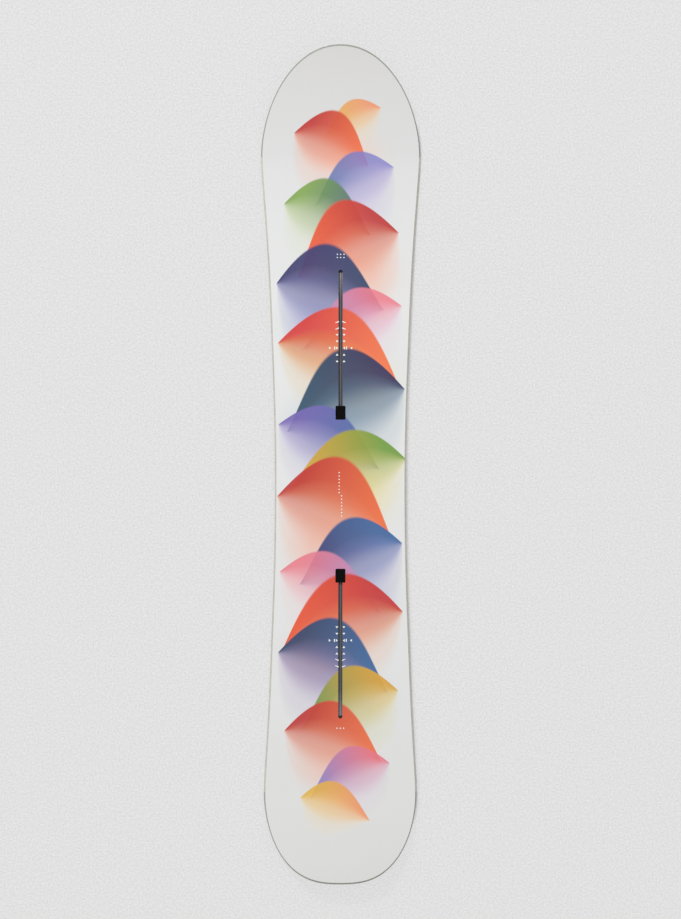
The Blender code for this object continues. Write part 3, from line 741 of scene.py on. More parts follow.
@dataclass(frozen=True)
class AirbrushedTopsheet(Finish):
    """Nylon topsheet, off-white, airbrushed with a run of soft dunes and lacquered to a satin gloss.

    The dunes lean to the left and right in turn down the board, in reds, oranges, blues, greens and
    lavender. Paint from an airbrush has one crisp, masked edge and fades into fine dust. The ground
    holds places along the board and the off-white there, with painted shade in it: the off-white is
    painted a little greyer towards the tips.
    """

    dust: float = 0.7 * MM
    lacquer_wave: float = 4.2 * MM
    handling: float = 71 * MM
    relief: float = 0.006 * MM
    # Off-white ground along the board, painted greyer towards the tips as painted shade.
    ground: tuple[tuple[float, str], ...] = (
        (-0.80, "#d4d4d2"), (-0.757, "#d9d9d7"), (-0.70, "#dedfdd"), (-0.60, "#e6e6e4"),
        (-0.45, "#e6e7e6"), (-0.10, "#e6e7e6"), (0.315, "#e5e6e5"), (0.507, "#dfe0df"), (0.60, "#dbdcdb"),
        (0.80, "#e1e0de"))
    hazes: tuple[Haze, ...] = (
        Haze(0.020, 0.585, 0.110, 0.085, 20.0, "#f6c9b4", 0.45),
        Haze(0.012, 0.490, 0.120, 0.095, -16.0, "#c9c3e2", 0.50),
        Haze(0.040, 0.360, 0.105, 0.100, 14.0, "#f4b9a2", 0.50),
        Haze(-0.040, 0.270, 0.110, 0.090, -12.0, "#a9b4d8", 0.60),
        Haze(0.038, 0.160, 0.112, 0.100, 10.0, "#dfe2c4", 0.60),
        Haze(-0.030, 0.060, 0.120, 0.110, -14.0, "#93b3c4", 0.60),
        Haze(0.036, -0.060, 0.112, 0.095, 12.0, "#eedd9e", 0.60),
        Haze(-0.034, -0.160, 0.112, 0.100, -12.0, "#f2b9a6", 0.55),
        Haze(0.036, -0.265, 0.110, 0.090, 14.0, "#b4b9dc", 0.55),
        Haze(-0.036, -0.370, 0.112, 0.090, -12.0, "#f0bfae", 0.55),
        Haze(0.030, -0.470, 0.112, 0.095, 16.0, "#bccfe0", 0.50),
        Haze(-0.016, -0.585, 0.110, 0.080, -14.0, "#f3c4b8", 0.45))
    dunes: tuple[Dune, ...] = (
        Dune(0.024, 0.655, 0.060, 0.040, 28.0, 0.4, "#e6b52e", "#f2935c", "#f3d594", -1.2, 0.88),
        Dune(-0.018, 0.604, 0.078, 0.072, -24.0, -0.4, "#c2261f", "#f2703c", "#f5a884", -1.3, 0.98),
        Dune(0.026, 0.534, 0.084, 0.060, 26.0, 0.5, "#2f66a0", "#7f7cc6", "#c0b2dc", -1.5, 0.88),
        Dune(-0.026, 0.470, 0.088, 0.074, -20.0, -0.5, "#76a02c", "#1f4d68", "#cfd8ac", -1.4, 0.92),
        Dune(0.014, 0.402, 0.106, 0.100, 24.0, 0.5, "#ef5b28", "#bd1f1c", "#f5a67e", -1.2, 0.98),
        Dune(-0.020, 0.322, 0.106, 0.096, -14.0, -0.5, "#2a2868", "#173c66", "#8a88c8", -1.4, 0.98),
        Dune(0.022, 0.262, 0.104, 0.066, 24.0, 0.6, "#ad93c8", "#ec7686", "#e8c6dc", -1.4, 0.90),
        Dune(-0.006, 0.196, 0.120, 0.104, -18.0, -0.3, "#d62c26", "#f4753e", "#e6b62e", -1.1, 0.98),
        Dune(0.010, 0.104, 0.120, 0.112, 20.0, 0.5, "#154a66", "#1b2256", "#6f97b4", -1.2, 0.98),
        Dune(-0.022, 0.034, 0.106, 0.070, -24.0, -0.5, "#7362b2", "#2f66a0", "#c3b4dc", -1.4, 0.95),
        Dune(0.012, -0.022, 0.118, 0.084, 16.0, 0.4, "#dca526", "#6f9c28", "#e8dc8c", -1.3, 0.97),
        Dune(-0.012, -0.100, 0.116, 0.112, -20.0, -0.4, "#c2261f", "#f06c34", "#f5a67e", -1.2, 0.98),
        Dune(0.020, -0.190, 0.106, 0.082, 22.0, 0.5, "#2a2868", "#2f66a0", "#8a88c8", -1.4, 0.98),
        Dune(-0.020, -0.244, 0.104, 0.070, -22.0, -0.5, "#ec7686", "#ad93c8", "#f2c8cc", -1.4, 0.90),
        Dune(0.006, -0.314, 0.118, 0.104, 16.0, 0.3, "#ec521e", "#c9231f", "#f2a25c", -1.2, 0.98),
        Dune(-0.014, -0.398, 0.112, 0.098, -20.0, -0.5, "#173c66", "#2f66a0", "#ad93c8", -1.3, 0.98),
        Dune(0.018, -0.470, 0.100, 0.078, 22.0, 0.5, "#5f933a", "#dca526", "#e8dc8c", -1.3, 0.95),
        Dune(-0.014, -0.540, 0.098, 0.084, -18.0, -0.4, "#c2261f", "#f2703c", "#f5a884", -1.2, 0.98),
        Dune(0.018, -0.606, 0.084, 0.060, 24.0, 0.5, "#7f7cc6", "#ec7686", "#dcc4e0", -1.3, 0.90),
        Dune(-0.010, -0.660, 0.070, 0.050, -18.0, -0.4, "#e6b52e", "#f2935c", "#f3d594", -1.2, 0.92))

    def pattern(self, tree: Tree) -> Feeds:
        """Hazes and dunes over the off-white, with paint dust, and the lacquer's slow waves.

        Args:
            tree: the material's node tree.

        Returns:
            Shader socket name to the socket that feeds it.
        """
        place = add_node(tree, "TexCoord", out="Object")
        along = add_node(tree, "SeparateXYZ", {"Vector": place}, out="Y")
        low = self.ground[0][0]
        high = self.ground[-1][0]
        share = add_node(tree, "MapRange", {"Value": along, "From Min": low, "From Max": high})
        colour = add_node(tree, "ValToRGB", {"Fac": share}, stops=[
            ((y - low) / (high - low), linear(shade)) for y, shade in self.ground])
        for spray in self.hazes + self.dunes:
            colour = spray.over(tree, place, colour)
        dust = add_node(tree, "TexNoise", {"Vector": place, "Scale": 1 / self.dust, "Detail": 2.0,
                                           "Roughness": 0.6})
        waves = add_node(tree, "TexNoise", {"Vector": place, "Scale": 1 / self.lacquer_wave, "Detail": 2.0})
        handled = add_node(tree, "TexNoise", {"Vector": place, "Scale": 1 / self.handling, "Detail": 5.0})
        return {"Base Color": self.toned(tree, dust, (0.3, 0.75), "#ffffff", 0.05, colour),
                "Roughness": self.uneven(tree, handled, (0.3, 0.7), 0.05, 0.07),
                "Height": waves}


@dataclass(frozen=True)
class StudioPaper(Finish):
    """Seamless studio paper: a matt pale grey with the fine mottle of its fibres.

    Only the camera sees the paper, and only from above. It sees most of it as evenly lit, so the
    board's shadow stays faint, but less so right beside the board on the side away from the lamp,
    where the shadow is deeper. Light passes through it, so the base is lit in views from below. The
    fibre clouds are about 1 mm wide on real paper and are drawn at 3.4 mm, so that they show.
    """

    fibre: float = 3.4 * MM
    even_share: float = 0.88
    contact_reach: float = 9 * MM
    contact_depth: float = 1.6
    towards_lamp: tuple[float, float, float] = (-0.75, 0.35, 0.56)

    def pattern(self, tree: Tree) -> Feeds:
        """Fibre clouds, the even light that the camera sees, and clear paper for all other rays.

        Args:
            tree: the material's node tree.

        Returns:
            Shader socket name to the socket that feeds it.
        """
        place = add_node(tree, "TexCoord", out="Object")
        fibres = add_node(tree, "TexNoise", {"Vector": place, "Scale": 1 / self.fibre, "Detail": 2.0,
                                             "Roughness": 0.7})
        colour = self.toned(tree, fibres, (0.3, 0.7), "#ececec")
        camera = add_node(tree, "LightPath", out="Is Camera Ray")
        behind = add_node(tree, "NewGeometry", out="Backfacing")
        seen = add_node(tree, "Math", {0: camera, 1: behind}, operation="SUBTRACT", use_clamp=True)
        even = add_node(tree, "Emission", {"Color": colour, "Strength": 1.0})
        lamp_side = add_node(tree, "CombineXYZ", dict(enumerate(self.towards_lamp)))
        reach = {"Distance": self.contact_reach, "Normal": lamp_side}
        open_share = add_node(tree, "AmbientOcclusion", reach, out="AO", samples=4)
        deepened = add_node(tree, "Math", {0: open_share, 1: self.contact_depth}, operation="POWER")
        share = add_node(tree, "Math", {0: deepened, 1: self.even_share}, operation="MULTIPLY")
        paper = add_node(tree, "MixShader", {0: share, 1: tree.nodes["Principled BSDF"].outputs[0], 2: even})
        shown = add_node(tree, "MixShader", {0: seen, 1: add_node(tree, "BsdfTransparent"), 2: paper})
        tree.links.new(shown, tree.nodes["Material Output"].inputs["Surface"])
        return {"Base Color": colour}


BASE = SinteredBase("sintered polyethylene, stone ground", "#161617", 0.42, ior=1.51)
EDGE_STEEL = GroundSteel("edge steel, ground", "#a9a8a4", 0.3, metallic=1.0)
RUBBER = RubberMat("damping rubber, calendered", "#232324", 0.85, ior=1.52)
LAMINATE = GlassLaminate("glass fibre in epoxy, pressed", "#c3c3ae", 0.35, ior=1.55)
POPLAR = PlanedWood("poplar, planed", "#dcc197", 0.6, ring_width=3.0 * MM, late_wood="#c39f6d")
BEECH = PlanedWood("beech, planed", "#c79468", 0.58, ring_width=2.0 * MM, late_wood="#a06f45",
                   fleck_strength=0.7)
FILLER = MouldedFiller("tip filler, moulded", "#aab0a9", 0.5, ior=1.52)
SIDEWALL = MilledSidewall("ABS sidewall, milled", "#dad4ca", 0.5, ior=1.54)
TOPSHEET = AirbrushedTopsheet("nylon topsheet, airbrushed and lacquered", "#e8e9e8", 0.33, ior=1.5,
                              coat=0.1, coat_roughness=0.2, specular=0.35)
BED = FilledNylon("glass-filled nylon, moulded", "#5b5d5f", 0.6, ior=1.53)
RAIL = AnodisedRail("aluminium, extruded and anodised dark", "#343638", 0.4, metallic=1.0)
PLUG = SparkErodedPlug("nylon plug, spark-eroded grain", "#070708", 0.5, ior=1.53, specular=0.05)
INSERT = ZincInsert("steel insert, zinc plated", "#c3c5c6", 0.3, metallic=1.0)
INK = ScreenInk("white ink, screen printed", "#fbfcfb", 0.6, ior=1.48)
PAPER = StudioPaper("studio paper, uncoated", "#d8d8d8", 0.9, ior=1.45, specular=0.0)


# Turning arrays into pieces


def grid_faces(rows: int, columns: int, wrap: bool) -> Array:
    """Quads between the neighbours of a grid whose points are numbered row by row.

    Args:
        rows: number of rows.
        columns: number of columns.
        wrap: whether the last column joins the first.

    Returns:
        Four point numbers for each face.
    """
    numbers = np.arange(rows * columns).reshape(rows, columns)
    near = numbers if wrap else numbers[:, :-1]
    following = np.roll(numbers, -1, axis=1) if wrap else numbers[:, 1:]
    return np.stack([near[:-1], following[:-1], following[1:], near[1:]], axis=-1).reshape(-1, 4)


def run_faces(rows: int, columns: int) -> list[list[int]]:
    """Faces of a row of closed loops, with one more face over each end.

    Args:
        rows: number of loops.
        columns: points on each loop.

    Returns:
        The point numbers of each face.
    """
    faces = grid_faces(rows, columns, True).tolist()
    faces.append(list(range(columns)))
    faces.append(list(range((rows - 1) * columns, rows * columns)))
    return faces


def raised(loop: Array, height: float) -> Array:
    """Give the points of a flat loop a height."""
    return np.column_stack([loop, np.full(len(loop), height)])


def piece_from(name: str, points: Array, faces: list[list[int]], lie: Array | None = None,
               closed: bool = True, crease: float = 40.0) -> Piece:
    """Put points and faces into a new object, close its poles and shade it.

    Args:
        name: the piece's name.
        points: x, y, z of each point in the board's frame, as a list or a grid.
        faces: lists of point numbers.
        lie: metres along and round the section for each point, for patterns that follow it.
        closed: whether the shape is closed; an open sheet is turned to face up instead.
        crease: angle in degrees past which an edge stays sharp.

    Returns:
        The new object, at the origin, unturned and unscaled.
    """
    mesh = bpy.data.meshes.new(name)
    points = points.reshape(-1, 3)
    mesh.from_pydata(points.tolist(), [], faces)
    if lie is not None:
        flat = np.zeros((len(points), 3), np.float32)
        flat[:, :2] = lie.reshape(-1, 2)
        mesh.attributes.new("lie", "FLOAT_VECTOR", "POINT").data.foreach_set("vector", flat.ravel())
    shape = bmesh.new()
    shape.from_mesh(mesh)
    bmesh.ops.remove_doubles(shape, verts=shape.verts, dist=WELD)
    bmesh.ops.dissolve_degenerate(shape, edges=shape.edges, dist=WELD)
    if closed:
        bmesh.ops.recalc_face_normals(shape, faces=shape.faces)
    else:
        shape.normal_update()
        if sum(face.normal.z * face.calc_area() for face in shape.faces) < 0:
            bmesh.ops.reverse_faces(shape, faces=shape.faces)
    shape.to_mesh(mesh)
    shape.free()
    mesh.shade_smooth()
    mesh.set_sharp_from_angle(angle=math.radians(crease))
    piece = bpy.data.objects.new(name, mesh)
    bpy.context.scene.collection.objects.link(piece)
    return piece


def rounded(corners: Array, cut: float, steps: int = CORNER_STEPS) -> Array:
    """Round the corners of a closed outline.

    Each corner gives way to a parabola from the point one cut before it to the point one cut after
    it: (1 - t) squared times the first, plus 2 t (1 - t) times the corner, plus t squared times the
    second.

    Args:
        corners: one row of two coordinates for each corner, in order.
        cut: how far from each corner its curve starts.
        steps: points on each curve.

    Returns:
        The rounded outline.
    """
    before = np.roll(corners, 1, axis=0) - corners
    after = np.roll(corners, -1, axis=0) - corners
    first = corners + before / np.linalg.norm(before, axis=1)[:, None] * cut
    second = corners + after / np.linalg.norm(after, axis=1)[:, None] * cut
    t = np.linspace(0.0, 1.0, steps)[None, :, None]
    curve = (1 - t) ** 2 * first[:, None] + 2 * t * (1 - t) * corners[:, None] + t ** 2 * second[:, None]
    return curve.reshape(-1, corners.shape[1])


def rounded_loop(half_x: float, half_y: float, radius: float, corner_points: int = 10) -> Array:
    """A rounded rectangle about the origin, as four quarter turns joined by its straight sides.

    Args:
        half_x: half its width.
        half_y: half its length.
        radius: radius of its corners; with half_x and half_y equal to it, the loop is a circle.
        corner_points: points on each quarter turn.

    Returns:
        One row of x, y for each point, counter-clockwise.
    """
    turns = np.linspace(0.0, math.pi / 2, corner_points)[None, :] + np.arange(4)[:, None] * math.pi / 2
    middle_x = np.array([1, -1, -1, 1])[:, None] * (half_x - radius)
    middle_y = np.array([1, 1, -1, -1])[:, None] * (half_y - radius)
    loop = np.stack([middle_x + radius * np.cos(turns), middle_y + radius * np.sin(turns)], axis=-1)
    return loop.reshape(-1, 2)


def dressed(piece: Piece, finish: Finish, body: str, slot: str, *replaced: str) -> None:
    """Give a piece its finish and its body, and hide the nodes that it stands for.

    Args:
        piece: the piece to dress.
        finish: what it is made of.
        body: the body that it moves with.
        slot: the record's material slot; not used.
        replaced: nodes that it is shown instead of.
    """
    piece.data.materials.clear()
    piece.data.materials.append(finish.material())
    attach(piece, body)
    if replaced:
        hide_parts(*replaced)
    log.info("%s rides on %s in %s", piece.name, body, finish.name)


def redressed(node: str, finish: Finish) -> None:
    """Give a hidden layer's own solid a better material.

    Args:
        node: the node, which keeps its mesh.
        finish: what it is made of.
    """
    solid = frame["nodes"][node]
    solid.data.materials.clear()
    solid.data.materials.append(finish.material())
    log.info("%s keeps its solid in %s", node, finish.name)


# The board's shape


@dataclass(frozen=True)
class Rim:
    """The right-hand rim from the tail's tip to the nose's tip, one array entry for each row.

    The normal points inwards when it is taken away, and tip_share grows from 0 at the widest place
    to 1 at the tip, where a layer's inset may differ from that along the sides.
    """

    x: Array
    y: Array
    normal_x: Array
    normal_y: Array
    tip_share: Array

    def at(self, rows: Array) -> "Rim":
        """The rim at some of its rows, by straight interpolation between them.

        Args:
            rows: whole or broken row numbers.

        Returns:
            A rim with one entry for each number.
        """
        numbers = np.arange(len(self.x))
        return Rim(*(np.interp(rows, numbers, values)
                     for values in (self.x, self.y, self.normal_x, self.normal_y, self.tip_share)))

    def inset(self, side: Array | float, tip: Array | float) -> tuple[Array, Array]:
        """The rim drawn inwards: rim - (side + (tip - side) times tip share) times the normal.

        Args:
            side: inset along the sides, one value or one for each column.
            tip: inset at the tips, of the same shape.

        Returns:
            x and y, with one row for each rim row and one column for each inset.
        """
        side = np.atleast_1d(side)[None, :]
        tip = np.atleast_1d(tip)[None, :]
        drawn = side + (tip - side) * self.tip_share[:, None]
        x = self.x[:, None] - drawn * self.normal_x[:, None]
        y = self.y[:, None] - drawn * self.normal_y[:, None]
        return x, y


@dataclass(frozen=True)
class Outline:
    """The board seen from above: a sidecut between two widest places and two rounded tips."""

    length: float
    nose_width: float
    tail_width: float
    waist_width: float = 0.2512
    waist_y: float = -0.0386
    nose_reach: float = 0.2095
    tail_reach: float = 0.1725
    nose_round: tuple[float, float] = (2.07, 1.86)
    tail_round: tuple[float, float] = (2.68, 1.94)
    sidecut_blend: float = 30.0
    foot_swell: float = 1.0 * MM
    foot_swell_length: float = 0.110
    foot_places: tuple[float, float] = (0.2237, -0.3363)
    tip_ease: float = 0.8
    side_rows: int = 260
    tip_rows: int = 110

    @classmethod
    def from_frame(cls) -> "Outline":
        """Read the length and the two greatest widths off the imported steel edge.

        Returns:
            The outline with those sizes.
        """
        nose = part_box("steel_edge_nose")
        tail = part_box("steel_edge_tail")
        return cls(nose[1].y - tail[0].y, nose[1].x - nose[0].x, tail[1].x - tail[0].x)

    @property
    def nose_widest(self) -> float:
        """Place of the widest point at the nose."""
        return self.length / 2 - self.nose_reach

    @property
    def tail_widest(self) -> float:
        """Place of the widest point at the tail."""
        return -self.length / 2 + self.tail_reach

    def half_width(self, y: Array) -> Array:
        """Half width along the sidecut.

        From the waist to a widest place the share u runs from 0 to 1, and the width grows by
        (1 + e) u squared - e u to the blend, with e = 2 / (blend - 2), so that it turns level there.
        A bell curve adds the slight swell under each foot.

        Args:
            y: places along the board between the two widest places.

        Returns:
            Half the board's width at each place.
        """
        ahead = y > self.waist_y
        widest = np.where(ahead, self.nose_widest, self.tail_widest)
        half = np.where(ahead, self.nose_width, self.tail_width) / 2
        share = np.abs((y - self.waist_y) / (widest - self.waist_y))
        turn = 2 / (self.sidecut_blend - 2)
        rise = (1 + turn) * share ** 2 - turn * share ** self.sidecut_blend
        swell = sum(self.foot_swell * np.exp(-((y - foot) / self.foot_swell_length) ** 2)
                    for foot in self.foot_places)
        waist = self.waist_width / 2
        return waist + (half - waist) * rise + swell * (1 - share ** self.sidecut_blend)

    def tip(self, end: End) -> Rim:
        """One tip from just past the widest place to its point.

        It is a superellipse: x = half width times cos(t) to 2/across, y = reach times sin(t) to
        2/along, with t from 0 to a quarter turn, and its normal follows from its own gradient.

        Args:
            end: which tip it is.

        Returns:
            The right-hand rim of the tip, from the widest place outwards.
        """
        ahead = end is End.FRONT
        across, along = self.nose_round if ahead else self.tail_round
        half = (self.nose_width if ahead else self.tail_width) / 2
        reach = self.nose_reach if ahead else self.tail_reach
        widest = self.nose_widest if ahead else self.tail_widest
        t = np.linspace(0.0, math.pi / 2, self.tip_rows + 1)[1:]
        x_share = np.cos(t) ** (2 / across)
        x_share[-1] = 0.0
        y_share = np.sin(t) ** (2 / along)
        normal_x = x_share ** (across - 1) * across / half
        normal_y = end.value * y_share ** (along - 1) * along / reach
        size = np.hypot(normal_x, normal_y)
        return Rim(half * x_share, widest + end.value * reach * y_share, normal_x / size, normal_y / size,
                   np.sin(t) ** self.tip_ease)

    def rim(self) -> Rim:
        """Join the tail tip, the sidecut and the nose tip.

        Returns:
            The whole right-hand rim, by growing y.
        """
        tail = self.tip(End.REAR)
        nose = self.tip(End.FRONT)
        y = np.linspace(self.tail_widest, self.nose_widest, self.side_rows)
        slope = np.gradient(self.half_width(y), y)
        slope[[0, -1]] = 0.0
        nothing = np.zeros_like(y)
        side = Rim(self.half_width(y), y, np.hypot(1.0, slope), nothing, nothing)
        return Rim(*(np.concatenate([getattr(tail, name)[::-1], getattr(side, name), getattr(nose, name)])
                     for name in ("x", "y", "normal_x", "normal_y", "tip_share")))

    @property
    def lengths(self) -> dict[str, tuple[int, int]]:
        """Split the rim at its two widest places, as the base, the edge and the core are split.

        Returns:
            First and last rim row of the tail, the running length and the nose.
        """
        rear = self.tip_rows
        front = rear + self.side_rows - 1
        return {"tail": (0, rear), "running": (rear, front), "nose": (front, front + self.tip_rows)}


@dataclass(frozen=True)
class Stack:
    """Levels of the layers over the running face, and their insets from the rim.

    The visible layers close the thin glue lines of the solids, so that each lies on the next.
    """

    base_top: float = 1.2 * MM
    flange_low: float = 1.5 * MM
    flange_high: float = 1.9 * MM
    core_low: float = 3.1 * MM
    core_high: float = 8.8 * MM
    topsheet_low: float = 10.0 * MM
    topsheet_high: float = 10.5 * MM
    core_tip_thickness: float = 1.4 * MM
    edge_width: float = 2.0 * MM
    flange_inset: float = 8.0 * MM
    laminate_inset: float = 0.2 * MM
    sidewall_inset: float = 0.3 * MM
    sidewall_top_inset: float = 2.2 * MM
    sidewall_inner_inset: float = 9.8 * MM
    spacer_tip_top_inset: float = 0.6 * MM
    upper_inset: float = 2.4 * MM
    upper_tip_inset: float = 0.8 * MM
    topsheet_inset: float = 2.8 * MM
    topsheet_tip_inset: float = 1.0 * MM
    seam: float = 0.05 * MM


@dataclass(frozen=True)
class Press:
    """The press that bends the flat stack to its camber and kicks and thins its core to the tips."""

    outline: Outline
    stack: Stack
    nose_height: float = 0.060
    nose_rise: float = 0.240
    tail_height: float = 0.045
    tail_rise: float = 0.200
    camber: float = 0.004
    contact_flat: float = 0.030
    taper_front: float = 0.3967
    taper_rear: float = -0.5093

    @property
    def contacts(self) -> tuple[float, float]:
        """Places of the rear and front contact lines, where the kicks begin."""
        half = self.outline.length / 2
        return -half + self.tail_rise, half - self.nose_rise

    def running_face(self, y: Array) -> tuple[Array, Array]:
        """Height and slope angle of the running face.

        Each kick is the arc that leaves the floor level at its contact line and has its height at
        the tip: z = R - R cos(a) with sin(a) = distance / R. Between the contact zones the camber is
        c times (1 - u squared) squared, with u from -1 to 1, and the zones themselves are flat.

        Args:
            y: places along the flat stack.

        Returns:
            Height above the floor and slope angle at each place.
        """
        rear, front = self.contacts
        height = np.zeros_like(y)
        angle = np.zeros_like(y)
        for start, sign, rise, reach in ((front, 1, self.nose_height, self.nose_rise),
                                         (rear, -1, self.tail_height, self.tail_rise)):
            radius = (reach ** 2 + rise ** 2) / (2 * rise)
            turned = np.arcsin(np.clip(sign * (y - start) / radius, 0.0, 1.0))
            height = height + radius * (1 - np.cos(turned))
            angle = angle + sign * turned
        low = rear + self.contact_flat
        high = front - self.contact_flat
        half = (high - low) / 2
        u = np.clip((y - (low + high) / 2) / half, -1.0, 1.0)
        height = height + self.camber * (1 - u ** 2) ** 2
        angle = angle + np.arctan(-4 * self.camber * u * (1 - u ** 2) / half)
        return height, angle

    def thinned(self, level: Array, y: Array) -> Array:
        """Thin the core by a straight taper that ends at the widest places.

        Args:
            level: level in the full stack.
            y: places along the flat stack.

        Returns:
            Level above the running face once the core is thinned.
        """
        stack = self.stack
        ahead = np.clip((y - self.taper_front) / (self.outline.nose_widest - self.taper_front), 0.0, 1.0)
        behind = np.clip((self.taper_rear - y) / (self.taper_rear - self.outline.tail_widest), 0.0, 1.0)
        full = stack.core_high - stack.core_low
        lost = (ahead + behind) * (full - stack.core_tip_thickness)
        share = np.clip((level - stack.core_low) / full, 0.0, 1.0)
        return level - share * lost

    def place(self, x: Array, y: Array, level: Array | float) -> Array:
        """Press points of the flat stack.

        A point moves to x, y - l sin(a) and h + l cos(a), where h and a are the running face's
        height and slope there and l is its thinned level.

        Args:
            x: across the board.
            y: along the board.
            level: above the running face.

        Returns:
            Points in the board's frame, with a last axis of three.
        """
        x, y, level = np.broadcast_arrays(x, y, level)
        height, angle = self.running_face(y)
        real = self.thinned(level, y)
        return np.stack([x, y - real * np.sin(angle), height + real * np.cos(angle)], axis=-1)


@dataclass(frozen=True)
class Section:
    """A closed outline of insets and levels that is carried along the rim.

    Its insets may differ between the sides and the tips, and the corners are rounded alike in both.
    """

    side: Pairs
    tip: Pairs | None = None
    cut: float = 0.12 * MM

    def columns(self) -> tuple[Array, Array, Array]:
        """Round the outline, for the sides and for the tips.

        Returns:
            Side insets, tip insets and levels, one entry for each point of the rounded outline.
        """
        side = rounded(np.array(self.side), self.cut)
        tip = rounded(np.array(self.tip or self.side), self.cut)
        return side[:, 0], tip[:, 0], side[:, 1]


def travelled(x: Array, y: Array) -> Array:
    """Distance along a flat path from its first point to each of them."""
    return np.concatenate([[0.0], np.cumsum(np.hypot(np.diff(x), np.diff(y)))])


def lie_of(rows: Rim, insets: Array, levels: Array) -> Array:
    """Where each point of a carried section lies on its own surface.

    Args:
        rows: the rim rows that the section is carried along.
        insets: the section's insets.
        levels: the section's levels.

    Returns:
        Metres along the rim and round the section, as a grid of the section's points.
    """
    along = travelled(rows.x, rows.y)[:, None]
    return np.stack(np.broadcast_arrays(along, travelled(insets, levels)), axis=-1)


@dataclass(frozen=True)
class Layer:
    """What every layer of the board is built from.

    A plate's wall is rounded as part of a strip of the wall depth, and has so many points across.
    """

    outline: Outline
    stack: Stack
    press: Press
    rim: Rim
    wall_depth: float = 4 * MM
    across: int = 9

    def strip(self, name: str, section: Section, first: int, last: int, hands: tuple[Hand, ...]) -> Piece:
        """Carry a section along the rim, on one side or, with both hands, round a tip.

        Args:
            name: the piece's name.
            section: the outline that is carried.
            first: rim row where the strip starts.
            last: rim row where it ends, or turns to the other side at a tip.
            hands: the side or sides that it runs on.

        Returns:
            The strip as a closed piece.
        """
        step = 1 if last > first else -1
        rows = self.rim.at(np.arange(first, last + step, step))
        side, tip, levels = section.columns()
        x, y = rows.inset(side, tip)
        grids = [self.press.place(hands[0].value * x, y, levels[None, :])]
        lies = [lie_of(rows, side, levels)]
        if len(hands) > 1:
            grids.append(self.press.place(hands[1].value * x, y, levels[None, :])[-2::-1])
            lies.append(lies[0][-2::-1])
        points = np.concatenate(grids)
        return piece_from(name, points, run_faces(*points.shape[:2]), np.concatenate(lies))

    def plate(self, name: str, wall: Section, first: int, last: int) -> Piece:
        """A plate over the whole width, whose outer wall follows a rounded section.

        Args:
            name: the piece's name.
            wall: two corners, the lower and the upper one, of the plate's outer wall.
            first: rim row where the plate starts.
            last: rim row where it ends.

        Returns:
            The plate as a closed piece.
        """
        rows = self.rim.at(np.arange(first, last + 1))
        (_, low), (_, high) = wall.side
        deep = self.wall_depth
        ends = [((lower + deep, low), (lower, low), (upper, high), (upper + deep, high))
                for (lower, _), (upper, _) in (wall.side, wall.tip or wall.side)]
        columns = Section(*ends, wall.cut).columns()
        # Of the strip's four rounded corners, the second and the third are the wall's.
        side, tip, levels = (values[CORNER_STEPS:3 * CORNER_STEPS] for values in columns)
        x, y = rows.inset(side, tip)
        fade = np.linspace(1.0, -1.0, self.across)[1:-1]
        right = self.press.place(x, y, levels[None, :])
        left = self.press.place(-x, y, levels[None, :])[:, ::-1]
        top = self.press.place(x[:, -1:] * fade, y[:, -1:], high)
        bottom = self.press.place(-x[:, :1] * fade, y[:, :1], low)
        points = np.concatenate([right, top, left, bottom], axis=1)
        round_wall = lie_of(rows, side, levels)
        flat = np.repeat(round_wall[:, -1:], len(fade), axis=1)
        lie = np.concatenate([round_wall, flat, round_wall[:, ::-1], flat], axis=1)
        return piece_from(name, points, run_faces(*points.shape[:2]), lie)


# The channels


@dataclass(frozen=True)
class ChannelSizes:
    """Sizes of a binding channel, with distances along the board from the middle of the stance."""

    stance_centre: float = STANCE_CENTRE
    start: float = 0.1430
    pocket_start: float = 0.1445
    lip_start: float = 0.1683
    plug_end: float = 0.1691
    slot_end: float = 0.4300
    end: float = 0.4330
    slot_half: float = 4.0 * MM
    cavity_half: float = 6.3 * MM
    leg_half: float = 7.5 * MM
    pocket_half: float = 7.8 * MM
    half: float = 9.3 * MM
    window_half: float = 9.6 * MM
    clearance: float = 0.3 * MM
    window_corner: float = 2.3 * MM
    box_corner: float = 0.3 * MM
    floor_high: float = 5.7 * MM
    lip_low: float = 8.5 * MM
    rib_half: float = 1.5 * MM
    groove_half: float = 5.6 * MM
    groove_low: float = 4.1 * MM

    def y(self, end: End, distance: Array | float) -> Array | float:
        """Place along the board of a distance from the middle of the stance."""
        return self.stance_centre + end.value * distance


